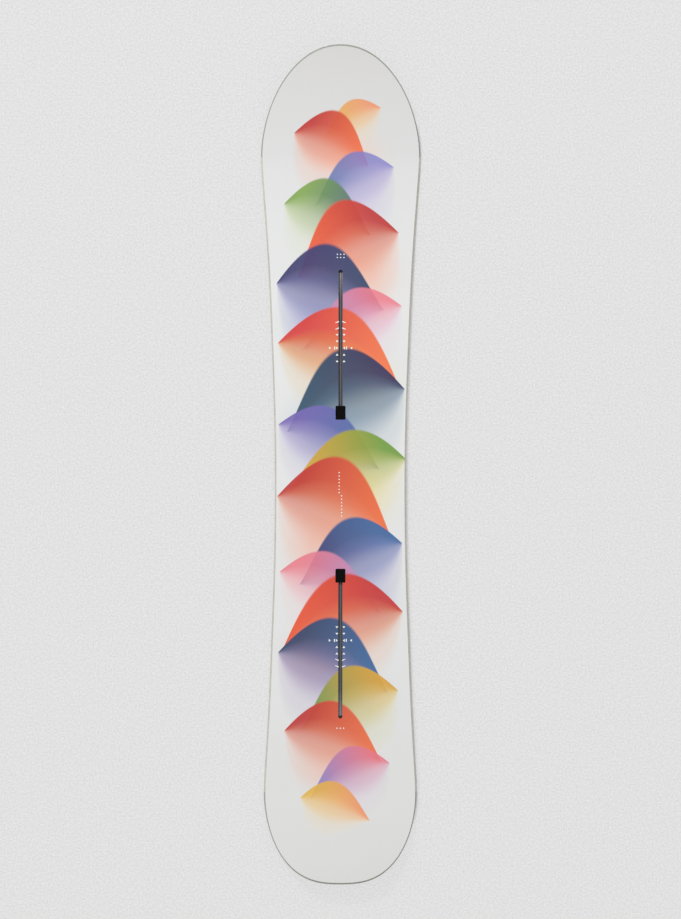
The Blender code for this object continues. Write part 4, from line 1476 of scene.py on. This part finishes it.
@dataclass(frozen=True)
class Mouth:
    """One opening in a sheet: a rounded window and, where it has one, the slot that runs out of it.

    Its right-hand edge is worked out from the end near the middle of the board outwards. Each edge
    point also has a lead, which is how far ahead along the board the sheet's ruling line from it
    meets the rim, so that the lines fan out from the walls that lie across the board. The fields of
    points say how many each stretch of the edge has.
    """

    half: float
    start: float
    end: float
    corner: float
    slot_half: float = 0.0
    slot_end: float = 0.0
    fan: float = 9 * MM
    corner_lead: float = 1 * MM
    wall_points: int = 5
    corner_points: int = 6
    side_points: int = 7
    back_points: int = 3
    slot_points: int = 69
    slot_end_points: int = 12

    def edge(self, channel: ChannelSizes, end: End) -> tuple[Array, Array, Array]:
        """x, y and ruling place of the right-hand edge, in order along the board.

        Args:
            channel: the channel's sizes.
            end: the end of the board that it lies in.

        Returns:
            Three arrays, by growing y.
        """
        t = np.linspace(0.0, math.pi / 2, self.corner_points + 1)[1:]
        inner = self.half - self.corner
        wall = np.linspace(0.0, inner, self.wall_points)
        side = np.linspace(self.start + self.corner, self.end - self.corner, self.side_points + 1)[1:]
        foot = self.slot_half
        back = np.linspace(inner, foot, self.back_points + 1)[1:]
        x = [wall, inner + self.corner * np.sin(t), np.full_like(side, self.half),
             inner + self.corner * np.cos(t), back]
        distance = [np.full_like(wall, self.start), self.start + self.corner * (1 - np.cos(t)), side,
                    self.end - self.corner + self.corner * np.sin(t), np.full_like(back, self.end)]
        near = self.corner_lead
        lead = [np.linspace(-self.fan, -near, len(wall)), np.linspace(-near, 0.0, len(t)),
                np.zeros_like(side), np.linspace(0.0, near, len(t)),
                np.linspace(near, self.fan, len(back) + 1)[1:]]
        if self.slot_end:
            run = np.linspace(self.end, self.slot_end - foot, self.slot_points + 1)[1:]
            quarter = np.linspace(0.0, math.pi / 2, self.slot_end_points + 1)[1:]
            x += [np.full_like(run, foot), foot * np.cos(quarter)]
            distance += [run, self.slot_end - foot + foot * np.sin(quarter)]
            lead += [np.linspace(self.fan, 0.0, len(run)), np.zeros_like(quarter)]
        x = np.concatenate(x)
        x[-1] = 0.0
        distance = np.concatenate(distance)
        y = channel.y(end, distance)
        meets = channel.y(end, distance + np.concatenate(lead))
        return (x, y, meets) if end is End.FRONT else (x[::-1], y[::-1], meets[::-1])


@dataclass(frozen=True)
class UpperSheet:
    """A sheet with a mouth over each channel: the upper laminate or the topsheet.

    Each half is a ruled surface between an inner edge, which is the centre line and the mouths, and
    the inset rim: point(v, w) = inner(v) + w (outer(v) - inner(v)), pressed at the sheet's upper
    level. Ruling lines square to the board start a clearance past the mouths, and a number of middle
    lines join the two mouths.
    """

    layer: Layer
    channel: ChannelSizes
    mouth: Mouth
    low: float
    high: float
    inset: float
    tip_inset: float
    across: int = 14
    clearance: float = 2 * MM
    middle_lines: int = 40
    softened: float = 0.12 * MM
    sharp: float = 50.0

    def edges(self) -> tuple[Array, Array, Array]:
        """Find both ends of every ruling line, from the tail's tip to the nose's.

        Where the inner edge is the centre line past both mouths, the inner y is not a number and
        the line runs square across the board.

        Returns:
            Inner x, inner y and rim row of each line.
        """
        rim = self.layer.rim
        rear = self.mouth.edge(self.channel, End.REAR)
        front = self.mouth.edge(self.channel, End.FRONT)
        numbers = np.arange(len(rim.x))
        whole_rear = numbers[rim.y < min(rear[1][0], rear[2][0]) - self.clearance]
        whole_front = numbers[rim.y > max(front[1][-1], front[2][-1]) + self.clearance]
        middle = np.linspace(0.0, 1.0, self.middle_lines + 2)[1:-1]
        middle_y = rear[1][-1] + middle * (front[1][0] - rear[1][-1])
        middle_meets = rear[2][-1] + middle * (front[2][0] - rear[2][-1])
        x = np.concatenate([np.zeros(len(whole_rear)), rear[0], np.zeros(len(middle)), front[0],
                            np.zeros(len(whole_front))])
        y = np.concatenate([np.full(len(whole_rear), np.nan), rear[1], middle_y, front[1],
                            np.full(len(whole_front), np.nan)])
        meets = np.concatenate([rear[2], middle_meets, front[2]])
        rows = np.concatenate([whole_rear, np.interp(meets, rim.y, numbers), whole_front])
        return x, y, rows

    def build(self, name: str) -> Piece:
        """Make the sheet, give it its thickness downwards and soften its edges.

        Args:
            name: the piece's name.

        Returns:
            The sheet, with its modifiers live.
        """
        inner_x, inner_y, rows = self.edges()
        rim = self.layer.rim.at(rows)
        outer_x, outer_y = (values[:, 0] for values in rim.inset(self.inset, self.tip_inset))
        inner_y = np.where(np.isnan(inner_y), outer_y, inner_y)
        w = np.linspace(0.0, 1.0, self.across)[None, :]
        x = inner_x[:, None] + w * (outer_x - inner_x)[:, None]
        y = inner_y[:, None] + w * (outer_y - inner_y)[:, None]
        points = []
        faces = []
        for hand in Hand:
            half = self.layer.press.place(hand.value * x, y, self.high).reshape(-1, 3)
            quads = grid_faces(len(rows), self.across, False)[:, ::hand.value]
            faces += (quads + len(points) * len(half)).tolist()
            points.append(half)
        piece = piece_from(name, np.concatenate(points), faces, closed=False)
        shell = piece.modifiers.new("thickness", "SOLIDIFY")
        shell.thickness = self.high - self.low
        shell.offset = -1.0
        shell.use_even_offset = True
        bevel = piece.modifiers.new("softened edges", "BEVEL")
        bevel.width = self.softened
        bevel.segments = 2
        bevel.limit_method = "ANGLE"
        bevel.angle_limit = math.radians(self.sharp)
        bevel.harden_normals = True
        return piece


@dataclass(frozen=True)
class StanceMarks:
    """The printed stance scale: rows of small marks beside each slot, and a few centre dots.

    The rows are 12.5 mm apart. At the reference stance of 560 mm each foot has a wider row. The
    dots are two columns at the waist, given by x and the y of the first dot, and short rows past
    the slots' ends.
    """

    layer: Layer
    channel: ChannelSizes
    half_stance: float = 0.280
    pitch: float = 12.5 * MM
    rows_outwards: int = 4
    rows_inwards: int = 2
    mark_x: float = 6.7 * MM
    mark_width: float = 5.4 * MM
    mark_height: float = 3.8 * MM
    wing_half_width: float = 3.3 * MM
    wing_drop: float = 1.65 * MM
    wing_root: float = 1.2 * MM
    wing_tip: float = 0.5 * MM
    bar_x: float = 11.4 * MM
    bar_width: float = 1.9 * MM
    bar_height: float = 5.6 * MM
    outer_x: float = 20.3 * MM
    film: float = 0.03 * MM
    dot_radius: float = 1.2 * MM
    dot_points: int = 14
    dot_pitch: float = 6.38 * MM
    dots_in_column: int = 7
    waist_columns: Pairs = ((-2.5 * MM, -15.0 * MM), (2.1 * MM, -59.5 * MM))
    slot_end_rows: tuple[float, ...] = (0.4034, 0.3973, -0.5048)

    def triangle(self, x: float, y: float, way_x: float, way_y: float) -> Array:
        """A triangle about a place that points one way across or along the board.

        Args:
            x: its middle across the board.
            y: its middle along the board.
            way_x: sign of its direction across the board, or zero.
            way_y: sign of its direction along the board, or zero.

        Returns:
            Its three corners.
        """
        ahead = np.array([1, -1, -1])[:, None] * self.mark_height / 2
        aside = np.array([0, 1, -1])[:, None] * self.mark_width / 2
        return np.array([x, y]) + ahead * np.array([way_x, way_y]) + aside * np.array([way_y, way_x])

    def wing(self, x: float, y: float, end: End, hand: Hand) -> Array:
        """A slanted bar, longer than the triangles, that marks the outermost rows.

        Args:
            x: its middle across the board.
            y: its middle along the board.
            end: the end of the board that it lies in, towards which its inner end leans.
            hand: the side of the slot that it lies on.

        Returns:
            Its four corners, the two inner ones further apart.
        """
        drop = -end.value * self.wing_drop
        across = np.array([-1, 1, 1, -1]) * hand.value * self.wing_half_width
        along = np.array([-drop / 2 - self.wing_root, drop - self.wing_tip, drop + self.wing_tip,
                          self.wing_root - drop / 2])
        return np.column_stack([x + across, y + along])

    def foot_shapes(self, end: End) -> list[Array]:
        """All marks beside one slot.

        Args:
            end: the end of the board that the slot lies in.

        Returns:
            The corners of each mark.
        """
        reference = self.channel.y(end, self.half_stance)
        shapes = []
        for step in range(-self.rows_inwards, self.rows_outwards + 1):
            y = reference + end.value * step * self.pitch
            for hand in Hand:
                x = hand.value * self.mark_x
                if step == 0:
                    shapes.append(self.triangle(x, y, -hand.value, 0))
                    shapes.append(self.triangle(hand.value * self.outer_x, y, -hand.value, 0))
                    shapes.append(self.bar(hand.value * self.bar_x, y))
                elif step > self.rows_outwards - 2:
                    shapes.append(self.wing(x, y, end, hand))
                else:
                    shapes.append(self.triangle(x, y, 0, -end.value * np.sign(step)))
        return shapes

    def bar(self, x: float, y: float) -> Array:
        """An upright bar about a place.

        Args:
            x: its middle across the board.
            y: its middle along the board.

        Returns:
            Its four corners.
        """
        corners = np.array([[-1, -1], [1, -1], [1, 1], [-1, 1]])
        return np.array([x, y]) + corners * np.array([self.bar_width, self.bar_height]) / 2

    def dot(self, x: float, y: float) -> Array:
        """A round dot about a place.

        Args:
            x: its middle across the board.
            y: its middle along the board.

        Returns:
            Points round its edge.
        """
        turn = np.linspace(0.0, 2 * math.pi, self.dot_points, endpoint=False)
        return np.array([x, y]) + self.dot_radius * np.column_stack([np.cos(turn), np.sin(turn)])

    def dot_shapes(self) -> list[Array]:
        """Two columns of dots at the waist and the short rows past the slots' ends.

        Returns:
            The edge points of each dot.
        """
        shapes = []
        for x, top in self.waist_columns:
            shapes += [self.dot(x, top - step * self.dot_pitch) for step in range(self.dots_in_column)]
        for y in self.slot_end_rows:
            shapes += [self.dot(column * self.dot_pitch, y) for column in (-1, 0, 1)]
        return shapes

    def build(self) -> Piece:
        """Lay every mark on the topsheet as a thin film with closed sides.

        Returns:
            All marks as one piece.
        """
        top = self.layer.stack.topsheet_high
        points = []
        faces = []
        count = 0
        for shape in self.foot_shapes(End.FRONT) + self.foot_shapes(End.REAR) + self.dot_shapes():
            corners = len(shape)
            for level in (top - self.film, top + self.film):
                points.append(self.layer.press.place(shape[:, 0], shape[:, 1], level))
            faces += [[number + count for number in face] for face in run_faces(2, corners)]
            count += 2 * corners
        return piece_from("stance_marks", np.concatenate(points), faces)


@dataclass(frozen=True)
class Channel:
    """One binding channel: grooved bed, two rails, two stops, a plug and two sliding inserts.

    The plug's underside is given as steps in from its side and up, and its dish as steps in from its
    rim and up from its top.
    """

    layer: Layer
    sizes: ChannelSizes
    end: End
    bed_rows: int = 60
    bed_corner: float = 0.15 * MM
    groove_slope: float = 0.4 * MM
    rib_slope: float = 0.3 * MM
    rail_rows: int = 56
    rail_corner: float = 0.2 * MM
    insert_length: float = 11.0 * MM
    insert_spacing: float = 0.6 * MM
    insert_flange_half: float = 6.0 * MM
    insert_neck_half: float = 3.7 * MM
    insert_flange: float = 2.0 * MM
    insert_play: float = 0.4 * MM
    insert_sunk: float = 0.3 * MM
    thread_minor: float = 2.5 * MM
    thread_major: float = 3.0 * MM
    thread_pitch: float = 1.0 * MM
    thread_chamfer: float = 0.35 * MM
    thread_mouth: float = 0.2 * MM
    thread_rows: int = 90
    plug_cap: float = 1.1 * MM
    plug_soft: float = 0.35 * MM
    plug_soft_points: int = 7
    plug_rim: float = 3.4 * MM
    plug_corner: float = 2.0 * MM
    plug_least_corner: float = 0.5 * MM
    plug_underside: Pairs = (
        (3.5 * MM, 0.0), (0.12 * MM, 0.0), (0.0, 0.12 * MM))
    plug_dish: Pairs = (
        (-0.15 * MM, 0.0), (0.0, -0.05 * MM), (0.1 * MM, -0.3 * MM), (0.25 * MM, -0.4 * MM),
        (0.9 * MM, -0.4 * MM))
    leg_top: float = 0.6 * MM
    leg_corner: float = 0.12 * MM
    leg_corner_points: int = 3
    leg_taper: float = 0.25 * MM
    leg_end_share: float = 0.75
    leg_toe: float = 0.3 * MM
    barb: float = 0.18 * MM
    barb_low: float = 1.0 * MM
    barb_high: float = 1.3 * MM
    crease: float = 28.0

    def run(self, name: str, distances: Array, sections: Array) -> Piece:
        """Carry a closed section along the channel.

        Args:
            name: the piece's name.
            distances: distance from the middle of the stance for each row.
            sections: x and level of each column, for each row.

        Returns:
            The run as a closed piece with flat ends.
        """
        y = self.sizes.y(self.end, distances)[:, None]
        points = self.layer.press.place(sections[..., 0], y, sections[..., 1])
        return piece_from(name, points, run_faces(*points.shape[:2]))

    def bed(self) -> Piece:
        """The bed strip: a rib down the middle and a groove on each side of it.

        The inserts slide on the rib and on the two ledges under the rails, and the grooves keep
        grit away from them.

        Returns:
            The bed as a closed piece.
        """
        sizes = self.sizes
        low = self.layer.stack.core_low
        half = [(sizes.half, low), (sizes.half, sizes.floor_high), (sizes.groove_half, sizes.floor_high),
                (sizes.groove_half - self.groove_slope, sizes.groove_low),
                (sizes.rib_half + self.rib_slope, sizes.groove_low), (sizes.rib_half, sizes.floor_high)]
        outline = np.array(half + [(-x, level) for x, level in half[::-1]])
        section = rounded(outline, self.bed_corner)
        distances = np.linspace(sizes.start, sizes.end, self.bed_rows)
        return self.run(f"{self.end.word}_channel_bed", distances,
                        np.broadcast_to(section, (len(distances), *section.shape)))

    def rail(self, hand: Hand) -> Piece:
        """One rail: a wall with a lip over the inserts, cut back beside the plug's pocket.

        Args:
            hand: the side of the slot that it lies on.

        Returns:
            The rail as a closed piece.
        """
        sizes = self.sizes
        high = self.layer.stack.topsheet_low
        lipped = np.array([(sizes.slot_half, high), (sizes.slot_half, sizes.lip_low),
                           (sizes.cavity_half, sizes.lip_low), (sizes.cavity_half, sizes.floor_high),
                           (sizes.half, sizes.floor_high), (sizes.half, high)])
        section = rounded(lipped, self.rail_corner)
        cut_back = section.copy()
        cut_back[:, 0] = np.maximum(cut_back[:, 0], sizes.pocket_half)
        section[:, 0] *= hand.value
        cut_back[:, 0] *= hand.value
        lip = np.linspace(sizes.lip_start, sizes.end, self.rail_rows)
        distances = np.concatenate([[sizes.start, sizes.lip_start], lip])
        sections = np.stack([cut_back] * 2 + [section] * self.rail_rows)
        return self.run(f"{self.end.word}_rail_{hand.name.lower()}_profile", distances, sections)

    def seated(self, local: Array, seat: Array, tilt: float) -> Array:
        """Turn local points about X by a tilt and set them on a seat.

        Args:
            local: points in the piece's own frame.
            seat: where its origin goes.
            tilt: angle in radians.

        Returns:
            The points in the board's frame.
        """
        cos = math.cos(tilt)
        sin = math.sin(tilt)
        y = local[..., 1] * cos - local[..., 2] * sin
        z = local[..., 1] * sin + local[..., 2] * cos
        return np.stack([local[..., 0], y, z], axis=-1) + seat

    def plug(self) -> Piece:
        """The lift-out plug: a dished cap with a soft rim, and two snap legs.

        The cap is a stack of rounded loops. Its profile runs from the underside out to the side,
        over the rim, down the dish's wall and in across the dish.

        Returns:
            The plug as one piece of three closed shells.
        """
        sizes = self.sizes
        middle = (sizes.start + sizes.plug_end) / 2
        reach = (sizes.plug_end - sizes.start) / 2
        y = float(sizes.y(self.end, middle))
        top = self.plug_cap
        soft = self.plug_soft
        turn = np.linspace(0.0, math.pi / 2, self.plug_soft_points)
        edge = np.stack([soft * (1 - np.cos(turn)), top - soft + soft * np.sin(turn)], axis=-1)
        dish = np.array(self.plug_dish) + np.array([self.plug_rim, top])
        loops = []
        for inset, height in np.concatenate([self.plug_underside, edge, dish]):
            radius = max(self.plug_corner - inset, self.plug_least_corner)
            loops.append(raised(rounded_loop(sizes.half - inset, reach - inset, radius), height))
        points = []
        faces = []
        total = 0
        for shell in (np.stack(loops), self.leg(Hand.RIGHT, middle), self.leg(Hand.LEFT, middle)):
            faces += [[number + total for number in face] for face in run_faces(*shell.shape[:2])]
            points.append(shell.reshape(-1, 3))
            total += len(points[-1])
        angle = float(self.layer.press.running_face(np.array([y]))[1][0])
        seat = self.layer.press.place(0.0, y, self.layer.stack.topsheet_low)
        placed = self.seated(np.concatenate(points), seat, angle)
        return piece_from(f"{self.end.word}_plug_cap", placed, faces, crease=self.crease)

    def leg(self, hand: Hand, middle: float) -> Array:
        """One snap leg: a rounded bar whose section carries a small barb near its foot.

        Args:
            hand: the side of the plug that it hangs from.
            middle: distance of the plug's middle from the middle of the stance.

        Returns:
            A row of points for each section along it, in the plug's own frame.
        """
        sizes = self.sizes
        foot = sizes.floor_high + sizes.clearance - self.layer.stack.topsheet_low
        start = sizes.pocket_start + sizes.clearance - middle
        stop = sizes.lip_start - sizes.clearance - middle
        outline = np.array([(sizes.cavity_half, self.leg_top), (sizes.leg_half, self.leg_top),
                            (sizes.leg_half, foot + self.barb_high),
                            (sizes.leg_half + self.barb, foot + self.barb_low),
                            (sizes.leg_half - self.leg_toe, foot), (sizes.cavity_half, foot)])
        section = rounded(outline, self.leg_corner, self.leg_corner_points)
        along = self.end.value * np.array([start, start + self.leg_taper, stop - self.leg_taper, stop])
        shrink = np.array([self.leg_end_share, 1.0, 1.0, self.leg_end_share])[:, None]
        centre = (sizes.cavity_half + sizes.leg_half) / 2
        x = hand.value * (centre + (section[:, 0] - centre) * shrink)
        return np.stack(np.broadcast_arrays(x, along[:, None], section[:, 1]), axis=-1)

    def insert(self, berth: Berth) -> Piece:
        """A sliding insert: a flange under the lips, a neck between them and a threaded hole.

        It is one surface of loops round the hole, closed on itself: up the thread, out over the
        neck's face, down its side, out over the flange, down and back in underneath. The thread is
        the radius mean + depth times a triangle wave of height / pitch - turn.

        Args:
            berth: which of the channel's two inserts it is.

        Returns:
            The insert, parked under the plug.
        """
        sizes = self.sizes
        parked = (sizes.pocket_start + (berth.value + 1) * self.insert_spacing
                  + (berth.value + 0.5) * self.insert_length)
        half = self.insert_length / 2
        shoulder = self.insert_flange / 2
        low = -shoulder
        middle_level = sizes.floor_high + self.insert_play + shoulder
        high = self.layer.stack.topsheet_low - self.insert_sunk - self.insert_play - middle_level
        neck = self.insert_neck_half
        wide = self.insert_flange_half
        # Half width, steps out and ahead, corner radius, level and step up, with steps and radius in mm.
        rings = ((neck, -0.3, -0.3, 0.5, high, 0.0), (neck, -0.08, -0.08, 0.6, high, -0.08),
                 (neck, 0.0, 0.0, 0.7, high, -0.3), (neck, 0.0, 0.0, 0.7, shoulder, 0.2),
                 (neck, 0.06, 0.0, 0.7, shoulder, 0.06), (neck, 0.2, 0.0, 0.7, shoulder, 0.0),
                 (wide, -0.25, 0.0, 0.7, shoulder, 0.0), (wide, -0.06, 0.0, 0.7, shoulder, -0.06),
                 (wide, 0.0, 0.0, 0.7, shoulder, -0.25), (wide, 0.0, 0.0, 0.7, low, 0.25),
                 (wide, -0.06, -0.06, 0.7, low, 0.06), (wide, -0.25, -0.25, 0.6, low, 0.0))
        hole = self.thread(low, high)
        loops = [raised(rounded_loop(side + out * MM, half + ahead * MM, radius * MM), level + up * MM)
                 for side, out, ahead, radius, level, up in rings]
        points = np.concatenate([hole, loops, hole[:1]])
        seat = self.layer.press.place(0.0, float(sizes.y(self.end, parked)), middle_level)
        name = f"{self.end.word}_{berth.name.lower()}"
        axis = next(row["axis"] for row in frame["joints"] if row["name"] == f"{name}_insert_slide")
        tilt = math.atan2(self.end.value * axis[2], self.end.value * axis[1])
        return piece_from(f"{name}_threaded_insert", self.seated(points, seat, tilt),
                          grid_faces(*points.shape[:2], True).tolist(), crease=self.crease)

    def thread(self, low: float, high: float) -> Array:
        """The threaded hole from its lower to its upper chamfer.

        Args:
            low: height of the insert's underside.
            high: height of its upper face.

        Returns:
            Loops of points, from the bottom up.
        """
        circle = rounded_loop(1.0, 1.0, 1.0)
        turn = np.arctan2(circle[:, 1], circle[:, 0])[None, :] / (2 * math.pi)
        z = np.linspace(low + self.thread_chamfer, high - self.thread_chamfer, self.thread_rows)[:, None]
        phase = (z / self.thread_pitch - turn) % 1.0
        wave = np.abs(2 * phase - 1)
        fade = np.clip(np.minimum(z - z[0], z[-1] - z) / (0.5 * self.thread_pitch), 0.0, 1.0)
        radius = self.thread_major - (self.thread_major - self.thread_minor) * wave * fade
        body = np.stack(np.broadcast_arrays(radius * circle[:, 0], radius * circle[:, 1], z), axis=-1)
        mouth = (self.thread_major + self.thread_mouth) * circle
        return np.concatenate([[raised(mouth, low)], body, [raised(mouth, high)]])

    def build(self) -> None:
        """Make and dress every piece of the channel."""
        word = self.end.word
        dressed(self.bed(), BED, "board", "channel_plastic", f"{word}_channel_floor")
        for stop in ("outer_stop", "inner_stop"):
            redressed(f"{word}_channel_{stop}", BED)
        for hand in Hand:
            dressed(self.rail(hand), RAIL, "board", "channel_rail", f"{word}_rail_{hand.name.lower()}")
        dressed(self.plug(), PLUG, f"{word}_plug", "plug", f"{word}_plug")
        for berth in (Berth.OUTER, Berth.INNER):
            which = berth.name.lower()
            dressed(self.insert(berth), INSERT, f"{word}_{which}_insert", "insert_steel",
                    f"{word}_insert_{which}")


@dataclass(frozen=True)
class Board:
    """The board itself: base, edges, laminates, core, sidewalls, fillers, topsheet and channels."""

    layer: Layer
    channel: ChannelSizes

    def build_base(self) -> None:
        """The base in three lengths, flush with the steel edge."""
        stack = self.layer.stack
        inset = stack.edge_width + stack.seam
        wall = Section(((inset, 0.0), (inset, stack.base_top)), cut=0.03 * MM)
        for name, rows in self.layer.outline.lengths.items():
            dressed(self.layer.plate(f"base_sheet_{name}", wall, *rows), BASE, "board", "base",
                    f"base_{name}")

    def build_edges(self) -> None:
        """The steel edge in four lengths, with its flange under the laminate."""
        stack = self.layer.stack
        rows = self.layer.outline.lengths
        section = Section(((0.0, 0.0), (stack.edge_width, 0.0), (stack.edge_width, stack.flange_low),
                           (stack.flange_inset, stack.flange_low), (stack.flange_inset, stack.flange_high),
                           (0.0, stack.flange_high)))
        both = (Hand.RIGHT, Hand.LEFT)
        for name, (first, last), hands in (
                ("left", rows["running"], (Hand.LEFT,)), ("right", rows["running"], (Hand.RIGHT,)),
                ("nose", rows["nose"], both), ("tail", rows["tail"][::-1], both)):
            dressed(self.layer.strip(f"edge_{name}", section, first, last, hands), EDGE_STEEL, "board",
                    "edge_steel", f"steel_edge_{name}")

    def build_middle(self) -> None:
        """Damping mats, lower laminate, wood core, sidewalls and tip fillers."""
        stack = self.layer.stack
        rows = self.layer.outline.lengths
        for name in rows:
            redressed(f"damping_mat_{name}", RUBBER)
        wall = Section(((stack.laminate_inset, stack.flange_high), (stack.laminate_inset, stack.core_low)),
                       cut=0.06 * MM)
        dressed(self.layer.plate("lower_glass", wall, rows["tail"][0], rows["nose"][1]), LAMINATE, "board",
                "glass_laminate", "lower_laminate")
        for name in ("tail", "waist", "nose"):
            redressed(f"core_middle_{name}", BEECH)
        for hand in ("left", "right"):
            for rank in range(1, 5):
                finish, slot = (POPLAR, "core_poplar") if rank % 2 else (BEECH, "core_beech")
                redressed(f"core_stringer_{hand}_{rank}", finish)
        foot = (stack.sidewall_inset, stack.core_low)
        side = Section((foot, (stack.sidewall_top_inset, stack.core_high),
                        (stack.sidewall_inner_inset, stack.core_high),
                        (stack.sidewall_inner_inset, stack.core_low)), cut=0.1 * MM)
        for hand in Hand:
            word = hand.name.lower()
            dressed(self.layer.strip(f"sidewall_band_{word}", side, *rows["running"], (hand,)), SIDEWALL,
                    "board", "sidewall", f"sidewall_{word}")
        wall = Section((foot, (stack.sidewall_top_inset, stack.core_high)),
                       (foot, (stack.spacer_tip_top_inset, stack.core_high)), cut=0.08 * MM)
        for name in ("tail", "nose"):
            dressed(self.layer.plate(f"{name}_filler", wall, *rows[name]), FILLER, "board", "tip_filler",
                    f"{name}_spacer")

    def build_top(self) -> None:
        """Upper laminate, topsheet and the printed stance scale."""
        stack = self.layer.stack
        channel = self.channel
        start = channel.start - channel.clearance
        box = Mouth(channel.window_half, start, channel.end + channel.clearance, channel.box_corner)
        glass = UpperSheet(self.layer, channel, box, stack.core_high, stack.topsheet_low,
                           stack.upper_inset, stack.upper_tip_inset)
        dressed(glass.build("upper_glass"), LAMINATE, "board", "glass_laminate", "upper_laminate")
        mouth = Mouth(channel.window_half, start, channel.plug_end + channel.clearance,
                      channel.window_corner, channel.slot_half, channel.slot_end)
        sheet = UpperSheet(self.layer, channel, mouth, stack.topsheet_low, stack.topsheet_high,
                           stack.topsheet_inset, stack.topsheet_tip_inset)
        dressed(sheet.build("lacquered_topsheet"), TOPSHEET, "board", "topsheet", "topsheet")
        dressed(StanceMarks(self.layer, channel).build(), INK, "board", "topsheet")

    def build(self) -> None:
        """Build the board from the snow side up, then its channels."""
        self.build_base()
        self.build_edges()
        self.build_middle()
        self.build_top()
        for end in End:
            Channel(self.layer, self.channel, end).build()


@dataclass(frozen=True)
class Studio:
    """Paper floor, an even pale sky, one soft key lamp past the nose and the camera overhead.

    The photograph is taken from 6.4 m straight above the board. Its 919 pixels of height cover the
    view that a 36 mm high sensor has behind the lens.
    """

    camera_height: float = 6.4
    camera_y: float = 0.0102
    camera_roll: float = 0.047
    sensor: float = 36.0
    focal_pixels: float = 3333.3
    picture_height: float = 919.0
    view_depth: float = 100.0
    floor_reach: float = 14.0
    floor_gap: float = 0.2 * MM
    sky: float = 0.65
    background: str = "#e2e2e2"
    key_place: tuple[float, float, float] = (-1.76, 3.15, 4.2)
    key_power: float = 132.0
    key_size: float = 0.9

    def build_camera(self) -> None:
        """The camera, looking straight down."""
        data = bpy.data.cameras.new("camera")
        data.sensor_width = self.sensor
        data.lens = self.focal_pixels * self.sensor / self.picture_height
        data.clip_end = self.view_depth
        camera = bpy.data.objects.new("camera", data)
        camera.location = (0.0, self.camera_y, self.camera_height)
        camera.rotation_euler = (0.0, 0.0, math.radians(self.camera_roll))
        bpy.context.scene.collection.objects.link(camera)
        bpy.context.scene.camera = camera

    def build_floor(self) -> None:
        """The paper under the board, a wide disc just below its running face."""
        rim = rounded_loop(self.floor_reach, self.floor_reach, self.floor_reach)
        points = raised(rim, -self.floor_gap)
        floor = piece_from("studio_floor", points, [list(range(len(rim)))], closed=False)
        floor.data.materials.append(PAPER.material())

    def build_light(self) -> None:
        """An even sky, which the camera and mirrors see as the paper's own grey, and the key lamp."""
        world = bpy.data.worlds.new("studio")
        bpy.context.scene.world = world
        world.use_nodes = True
        tree = world.node_tree
        camera = add_node(tree, "LightPath", out="Is Camera Ray")
        rays = camera.node.outputs
        mirrored = add_node(tree, "Math", {0: camera, 1: rays["Is Glossy Ray"]}, operation="MAXIMUM")
        seen = add_node(tree, "Math", {0: mirrored, 1: rays["Is Transmission Ray"]}, operation="MAXIMUM")
        light = add_node(tree, "Background", {"Color": linear("#ffffff"), "Strength": self.sky})
        shown = add_node(tree, "Background", {"Color": linear(self.background), "Strength": 1.0})
        both = add_node(tree, "MixShader", {0: seen, 1: light, 2: shown})
        tree.links.new(both, tree.nodes["World Output"].inputs["Surface"])
        data = bpy.data.lights.new("key", "AREA")
        data.shape = "DISK"
        data.size = self.key_size
        data.energy = self.key_power
        key = bpy.data.objects.new("key", data)
        place = Vector(self.key_place)
        key.location = place
        key.rotation_euler = place.to_track_quat("Z", "Y").to_euler()
        bpy.context.scene.collection.objects.link(key)

    def build(self) -> None:
        """Set up the studio with the plain colour transform."""
        self.build_camera()
        self.build_floor()
        self.build_light()
        bpy.context.scene.view_settings.view_transform = "Standard"


def main() -> None:
    """Build the studio and the board, and report every piece."""
    logging.basicConfig(level=logging.INFO, format="%(name)s: %(message)s")
    Studio().build()
    outline = Outline.from_frame()
    stack = Stack()
    layer = Layer(outline, stack, Press(outline, stack), outline.rim())
    Board(layer, ChannelSizes()).build()


if __name__ == "__main__":
    main()
